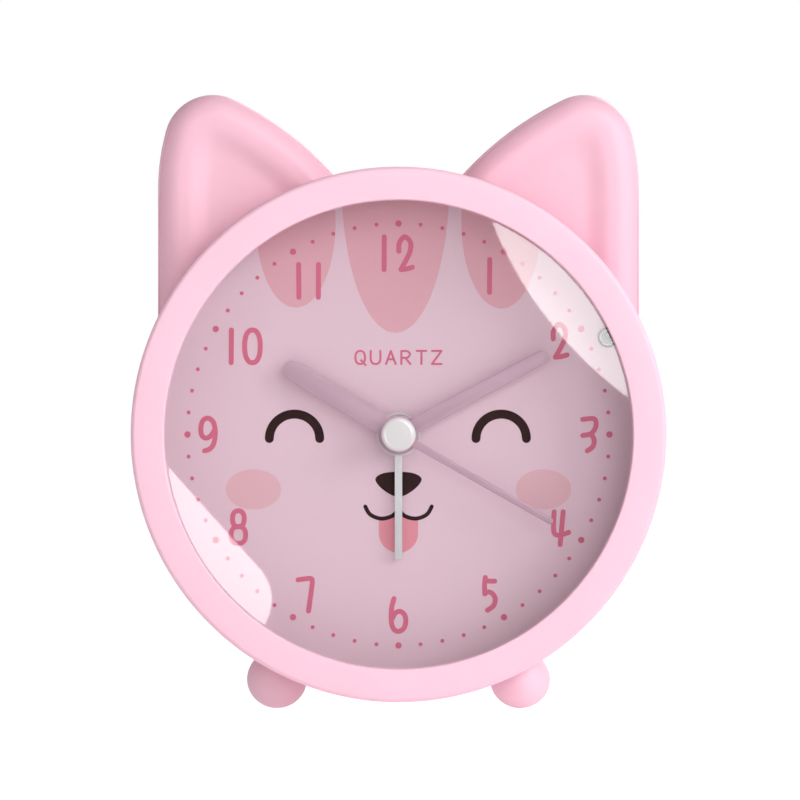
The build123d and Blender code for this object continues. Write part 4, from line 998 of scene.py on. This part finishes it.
def make_glow_card(name, x, z, width, height, corner, turn, strength):
    """Round-cornered soft box behind the camera; it shows only in reflections."""
    material = bpy.data.materials.new(name)
    material.use_nodes = True
    nodes, links = material.node_tree.nodes, material.node_tree.links
    nodes.clear()
    emission = nodes.new("ShaderNodeEmission")
    emission.inputs["Strength"].default_value = strength
    output = nodes.new("ShaderNodeOutputMaterial")
    links.new(emission.outputs["Emission"], output.inputs["Surface"])
    bm = bmesh.new()
    outline = []
    for cx, cz, start in ((1, 1, 0), (-1, 1, 90), (-1, -1, 180), (1, -1, 270)):
        outline += arc(cx * (width / 2 - corner), cz * (height / 2 - corner), corner, start, start + 90, 40)
    tilt = Matrix.Rotation(radians(turn), 2)
    corners = [tilt @ Vector(p) for p in outline]
    bm.faces.new([bm.verts.new((x + p.x, GLEAM_Y, AXIS_Z + z + p.y)) for p in corners])
    mesh = bpy.data.meshes.new(name)
    bm.to_mesh(mesh)
    bm.free()
    mesh.materials.append(material)
    card = bpy.data.objects.new(name, mesh)
    card.visible_camera = False
    card.visible_diffuse = False
    card.visible_shadow = False
    bpy.context.scene.collection.objects.link(card)


def make_lights():
    """Lamps, and the two soft boxes that the lens mirrors."""
    for lamp in LAMPS:
        make_light(*lamp)
    make_glow_card("gleam_high", 0.683, 0.528, 1.16, 1.16, 0.58, 0, 8.0)
    make_glow_card("gleam_low", -0.437, -0.136, 0.543, 0.25, 0.07, -47.7, 7.0)


def make_world():
    """White backdrop to the camera, soft light on the object, and a dark side behind the
    camera in reflections."""
    world = bpy.data.worlds.new("studio")
    world.use_nodes = True
    nodes, links = world.node_tree.nodes, world.node_tree.links
    nodes.clear()
    backgrounds = []
    for strength in (AMBIENT, 1.0, 1.0):
        background = nodes.new("ShaderNodeBackground")
        background.inputs["Color"].default_value = (1, 1, 1, 1)
        background.inputs["Strength"].default_value = strength
        backgrounds.append(background.outputs["Background"])
    soft, seen, mirrored = backgrounds
    where = nodes.new("ShaderNodeTexCoord")
    split = nodes.new("ShaderNodeSeparateXYZ")
    links.new(where.outputs["Generated"], split.inputs["Vector"])
    dark = nodes.new("ShaderNodeMapRange")
    dark.interpolation_type = "SMOOTHSTEP"
    for side, turn, strength in zip(("Min", "Max"), DARK_SPREAD, MIRRORED):
        dark.inputs["From " + side].default_value = turn
        dark.inputs["To " + side].default_value = strength
    links.new(split.outputs["Y"], dark.inputs["Value"])
    links.new(dark.outputs["Result"], mirrored.node.inputs["Strength"])
    path = nodes.new("ShaderNodeLightPath")
    gloss_mix = nodes.new("ShaderNodeMixShader")
    links.new(path.outputs["Is Glossy Ray"], gloss_mix.inputs["Fac"])
    links.new(soft, gloss_mix.inputs[1])
    links.new(mirrored, gloss_mix.inputs[2])
    mix = nodes.new("ShaderNodeMixShader")
    links.new(path.outputs["Is Camera Ray"], mix.inputs["Fac"])
    links.new(gloss_mix.outputs["Shader"], mix.inputs[1])
    links.new(seen, mix.inputs[2])
    output = nodes.new("ShaderNodeOutputWorld")
    links.new(mix.outputs["Shader"], output.inputs["Surface"])
    bpy.context.scene.world = world


make_bezel()
make_lens()
make_ears()
make_feet()
make_tail()
make_dial_print()
make_hands()
make_lamp()
make_floor()
make_lights()
make_world()
bpy.context.scene.view_settings.view_transform = "Standard"
